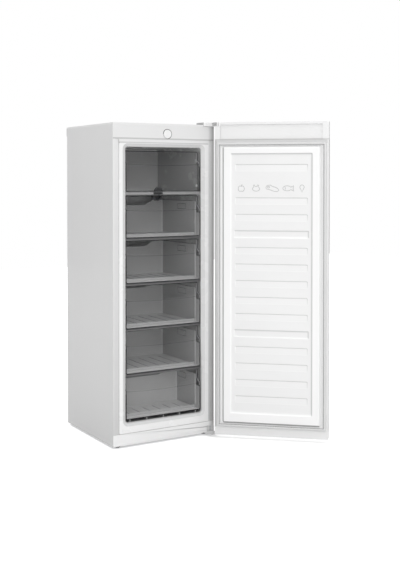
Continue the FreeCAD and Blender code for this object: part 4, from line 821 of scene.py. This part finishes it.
def shelf_strips():
    """Rounded strips across the gaps between the compartments."""
    for number in range(DRAWERS):
        top = number == 0
        low = FLAP_LOW if top else front_low(number)
        high = low - 1.5
        bm = bmesh.new()
        height = TOP_TRIM_HEIGHT if top else TRIM_HEIGHT
        block(bm, -222.4, 222.4, TRIM_FRONT + 0.1, TRIM_BACK - 0.1, high - height + 0.1, high - 0.1,
              2.2, 3)
        publish(f"shelf_strip_{number + 1}", bm, trim_pale if top else trim_grey, "cabinet",
                ("shelf_trims",))


# ---------------------------------------- baskets
TUB_HALF = 217.0
TUB_FRONT = FACE_Y + FRONT_WALL
TUB_REAR = 129.6
LOW_TUB_REAR = -32.4
TUB_WALL = 2.0
TUB_FLOOR = 2.5
TUB_HEIGHT = 185.0
NOTCH_HALF, NOTCH_RUN, NOTCH_DEPTH = 100.0, 50.0, 28.0
STOP_FRONT, STOP_LENGTH, STOP_HEIGHT = FRONT + 158.0, 86.0, 29.0
STOP_DROP = 18.0
SILL_SETBACK, SILL_HEIGHT = 45.0, 13.9
BARS, BAR_START, BAR_END = 6, 68.0, 60.0


def tub_plan(rear, offset, radius=11.0):
    """Plan path (x, y) of a basket's wall, from front left round the back to front right."""
    x, y = TUB_HALF - offset, rear - offset
    radius -= offset
    points = [(-x, TUB_FRONT + 0.4 + k * 32.0 / 3) for k in range(4)]
    points += [(-x, TUB_FRONT + 36.0), (-x, TUB_FRONT + 90.0)]
    turns = [math.radians(a) for a in range(0, 91, 15)]
    points += [(-x + radius - radius * math.cos(t), y - radius + radius * math.sin(t)) for t in turns]
    ends = (NOTCH_HALF + NOTCH_RUN, NOTCH_HALF + NOTCH_RUN * 0.5, NOTCH_HALF, 40.0)
    left = points + [(-end, y) for end in ends]
    return left + [(-px, py) for px, py in reversed(left)]


def tub_rim(x, y, low, rear):
    """Height of a basket's wall at a place of its plan."""
    top = low + TUB_HEIGHT
    if y < TUB_FRONT + 34.0:
        return low - 2.0 + CREASE - CREASE_DIP - 8.0
    if y > rear - 3.0:
        return top - NOTCH_DEPTH * (1 - smoothstep(abs(x), NOTCH_HALF, NOTCH_HALF + NOTCH_RUN))
    return top


def basket_wall(name, number, low, outer, inner, rear):
    """Rounded wall with a dipped back, open at the front."""
    bm = bmesh.new()
    rows = []
    for (ox, oy), (ix, iy) in zip(outer, inner):
        rim = tub_rim(ox, oy, low, rear) - 1.0
        corners = ((ox, oy, low + 0.3), (ox, oy, rim), (ix, iy, rim), (ix, iy, low + 0.3))
        rows.append([bm.verts.new(corner) for corner in corners])
    for row, after in zip(rows, rows[1:]):
        for k in range(4):
            bm.faces.new((row[k], row[(k + 1) % 4], after[(k + 1) % 4], after[k]))
    bm.faces.new(rows[0])
    bm.faces.new(rows[-1])
    publish(name, bm, tub_wall, f"drawer_{number}", (f"drawer_{number}_tub",), False, 30.0)


def basket_floor(name, body, low, rear):
    """Floor plate between the walls."""
    bm = bmesh.new()
    corner = (TUB_HALF - TUB_WALL, TUB_FRONT + 0.4)
    plan = [(x, y) for x, y in tub_plan(rear, TUB_WALL + 0.02) if y > TUB_FRONT + 30.0]
    plan = [(-corner[0], corner[1])] + plan + [corner]
    under = [bm.verts.new((x, y, low + 0.3)) for x, y in plan]
    over = [bm.verts.new((x, y, low + TUB_FLOOR)) for x, y in plan]
    bm.faces.new(under)
    bm.faces.new(over)
    for k in range(len(plan)):
        after = (k + 1) % len(plan)
        bm.faces.new((under[k], under[after], over[after], over[k]))
    publish(name + "_floor", bm, tub_floor, body, (), False, 30.0)


def basket_front_parts(name, body, low):
    """Low sill behind the clear front and a pale strip in each front corner as a painted highlight."""
    sill, strips = bmesh.new(), bmesh.new()
    y, floor_top = TUB_FRONT + SILL_SETBACK, low + TUB_FLOOR
    block(sill, -212.8, 212.8, y, y + 2.0, low + 0.4, floor_top + SILL_HEIGHT, 0.7, 2)
    for side in (-1, 1):
        x0, x1 = sorted((side * 213.3, side * 214.9))
        block(strips, x0, x1, TUB_FRONT + 35.0, TUB_FRONT + 49.0,
              floor_top + 0.2, low + TUB_HEIGHT - 3.0, 0.5, 2)
    publish(name + "_sill", sill, tub_sill, body, (), False, 30.0)
    publish(name + "_highlight_strips", strips, tub_strip, body, (), False, 30.0)


def basket_edges(name, body, low, outer, inner, rear):
    """Dark bead on the wall's rim, bars along the floor and the outlines of the side stops."""
    bm = bmesh.new()
    bead = [((ox + ix) / 2, (oy + iy) / 2, tub_rim(ox, oy, low, rear) - 1.4)
            for (ox, oy), (ix, iy) in zip(outer, inner)]
    tube(bm, bead, 1.3, 8)
    inside = TUB_HALF - TUB_WALL
    start, end = TUB_FRONT + BAR_START, rear - BAR_END
    for k in range(1, BARS + 1):
        x = -inside + 2 * inside * k / (BARS + 1)
        bar = [(x, start + (end - start) * j / 6, low + TUB_FLOOR + 0.1) for j in range(7)]
        tube(bm, bar, 1.1, 6)
    high = low + TUB_HEIGHT - STOP_DROP
    back = min(STOP_FRONT + STOP_LENGTH, rear - 5.0)
    for side in (-1, 1):
        corners = ((STOP_FRONT, high - STOP_HEIGHT), (back, high - STOP_HEIGHT), (back, high),
                   (STOP_FRONT, high))
        tube(bm, [(side * (inside - 0.2), y, z) for y, z in corners], 1.2, 6, True)
    publish(name + "_rim", bm, tub_mark, body, (), False, 50.0)


def tub(number):
    """Basket with its wall, floor, sill, corner strips, rim, floor bars and stops."""
    low = front_low(number) + 2.0
    rear = LOW_TUB_REAR if number == DRAWERS else TUB_REAR
    outer, inner = tub_plan(rear, 0.1), tub_plan(rear, TUB_WALL)
    name, body = f"drawer_{number}_basket", f"drawer_{number}"
    basket_wall(name, number, low, outer, inner, rear)
    basket_floor(name, body, low, rear)
    basket_front_parts(name, body, low)
    basket_edges(name, body, low, outer, inner, rear)


for number in range(1, DRAWERS + 1):
    clear_front(f"drawer_{number}_clear_front", f"drawer_{number}", front_low(number), FRONT_HEIGHT,
                (f"drawer_{number}_front",))
    tub(number)
shelf_strips()
flap()


# ---------------------------------------- camera
IMAGE_HEIGHT = 570.0
FOCAL_PX = 947.2
VIEW_ROW = 194.5
FILM = 36.0


def aim_camera():
    """Camera at the photograph's place, shifted so that its axis meets the picture at VIEW_ROW."""
    camera = bpy.data.objects.new("camera", bpy.data.cameras.new("camera"))
    bpy.context.collection.objects.link(camera)
    bpy.context.scene.camera = camera
    camera.data.sensor_fit = "VERTICAL"
    camera.data.sensor_height = FILM
    camera.data.lens = FILM * FOCAL_PX / IMAGE_HEIGHT
    camera.data.shift_y = -(IMAGE_HEIGHT / 2 - VIEW_ROW) / IMAGE_HEIGHT
    camera.location = (-2.364, -4.5853, 1.3661)
    yaw, pitch = math.radians(30.95), math.radians(-0.96)
    level = math.cos(pitch)
    heading = Vector((math.sin(yaw) * level, math.cos(yaw) * level, math.sin(pitch)))
    camera.rotation_euler = heading.to_track_quat("-Z", "Y").to_euler()


aim_camera()


# ---------------------------------------- floor, background and light
def floor_look():
    """White studio floor that throws back less light than it shows."""
    mat = surface("floor", (0.92, 0.92, 0.92), 0.8, variation=0.01, cloud=2.0, grain=40.0)
    tree = mat.node_tree
    bsdf = tree.nodes["Principled BSDF"]
    seen = tree.nodes.new("ShaderNodeLightPath")
    dull = tree.nodes.new("ShaderNodeBsdfDiffuse")
    dull.inputs["Color"].default_value = (0.86, 0.86, 0.86, 1.0)
    bsdf.inputs["Emission Color"].default_value = (1.0, 1.0, 1.0, 1.0)
    bsdf.inputs["Emission Strength"].default_value = 0.45
    blend = tree.nodes.new("ShaderNodeMixShader")
    tree.links.new(seen.outputs["Is Camera Ray"], blend.inputs["Fac"])
    tree.links.new(dull.outputs["BSDF"], blend.inputs[1])
    tree.links.new(bsdf.outputs["BSDF"], blend.inputs[2])
    tree.links.new(blend.outputs["Shader"], tree.nodes["Material Output"].inputs["Surface"])
    return mat


def lay_floor():
    """Wide plain floor just under the feet."""
    mesh = bpy.data.meshes.new("floor")
    mesh.from_pydata([(-9, -9, 0), (9, -9, 0), (9, 9, 0), (-9, 9, 0)], [], [(0, 1, 2, 3)])
    floor = bpy.data.objects.new("floor", mesh)
    bpy.context.collection.objects.link(floor)
    mesh.materials.append(floor_look())
    floor.location.z = -0.0005


def studio_world():
    """White behind the object, softer light from all round."""
    world = bpy.data.worlds.new("studio")
    bpy.context.scene.world = world
    world.use_nodes = True
    tree = world.node_tree
    sky = tree.nodes["Background"]
    sky.inputs["Color"].default_value = (1, 1, 1, 1)
    sky.inputs["Strength"].default_value = 0.38
    white = tree.nodes.new("ShaderNodeBackground")
    white.inputs["Color"].default_value = (1, 1, 1, 1)
    white.inputs["Strength"].default_value = 1.0
    paths = tree.nodes.new("ShaderNodeLightPath")
    mix = tree.nodes.new("ShaderNodeMixShader")
    tree.links.new(paths.outputs["Is Camera Ray"], mix.inputs["Fac"])
    tree.links.new(sky.outputs["Background"], mix.inputs[1])
    tree.links.new(white.outputs["Background"], mix.inputs[2])
    tree.links.new(mix.outputs["Shader"], tree.nodes["World Output"].inputs["Surface"])


def key_light(place, target, size, power):
    """Soft square light that looks at a point."""
    data = bpy.data.lights.new("key", "AREA")
    data.size = size
    data.energy = power
    lamp = bpy.data.objects.new("key", data)
    lamp.location = place
    way = Vector(target) - Vector(place)
    lamp.rotation_euler = way.to_track_quat("-Z", "Y").to_euler()
    bpy.context.collection.objects.link(lamp)


def overhead_light(strength, spread):
    """Very wide light from straight above."""
    data = bpy.data.lights.new("overhead", "SUN")
    data.energy = strength
    data.angle = math.radians(spread)
    bpy.context.collection.objects.link(bpy.data.objects.new("overhead", data))


lay_floor()
studio_world()
key_light((-2.4, -5.6, 3.4), (0.1, -0.3, 0.7), 3.0, 134.0)
overhead_light(2.2, 100)
bpy.context.scene.view_settings.view_transform = "Standard"

# ---------------------------------------- the end
bpy.context.view_layer.update()
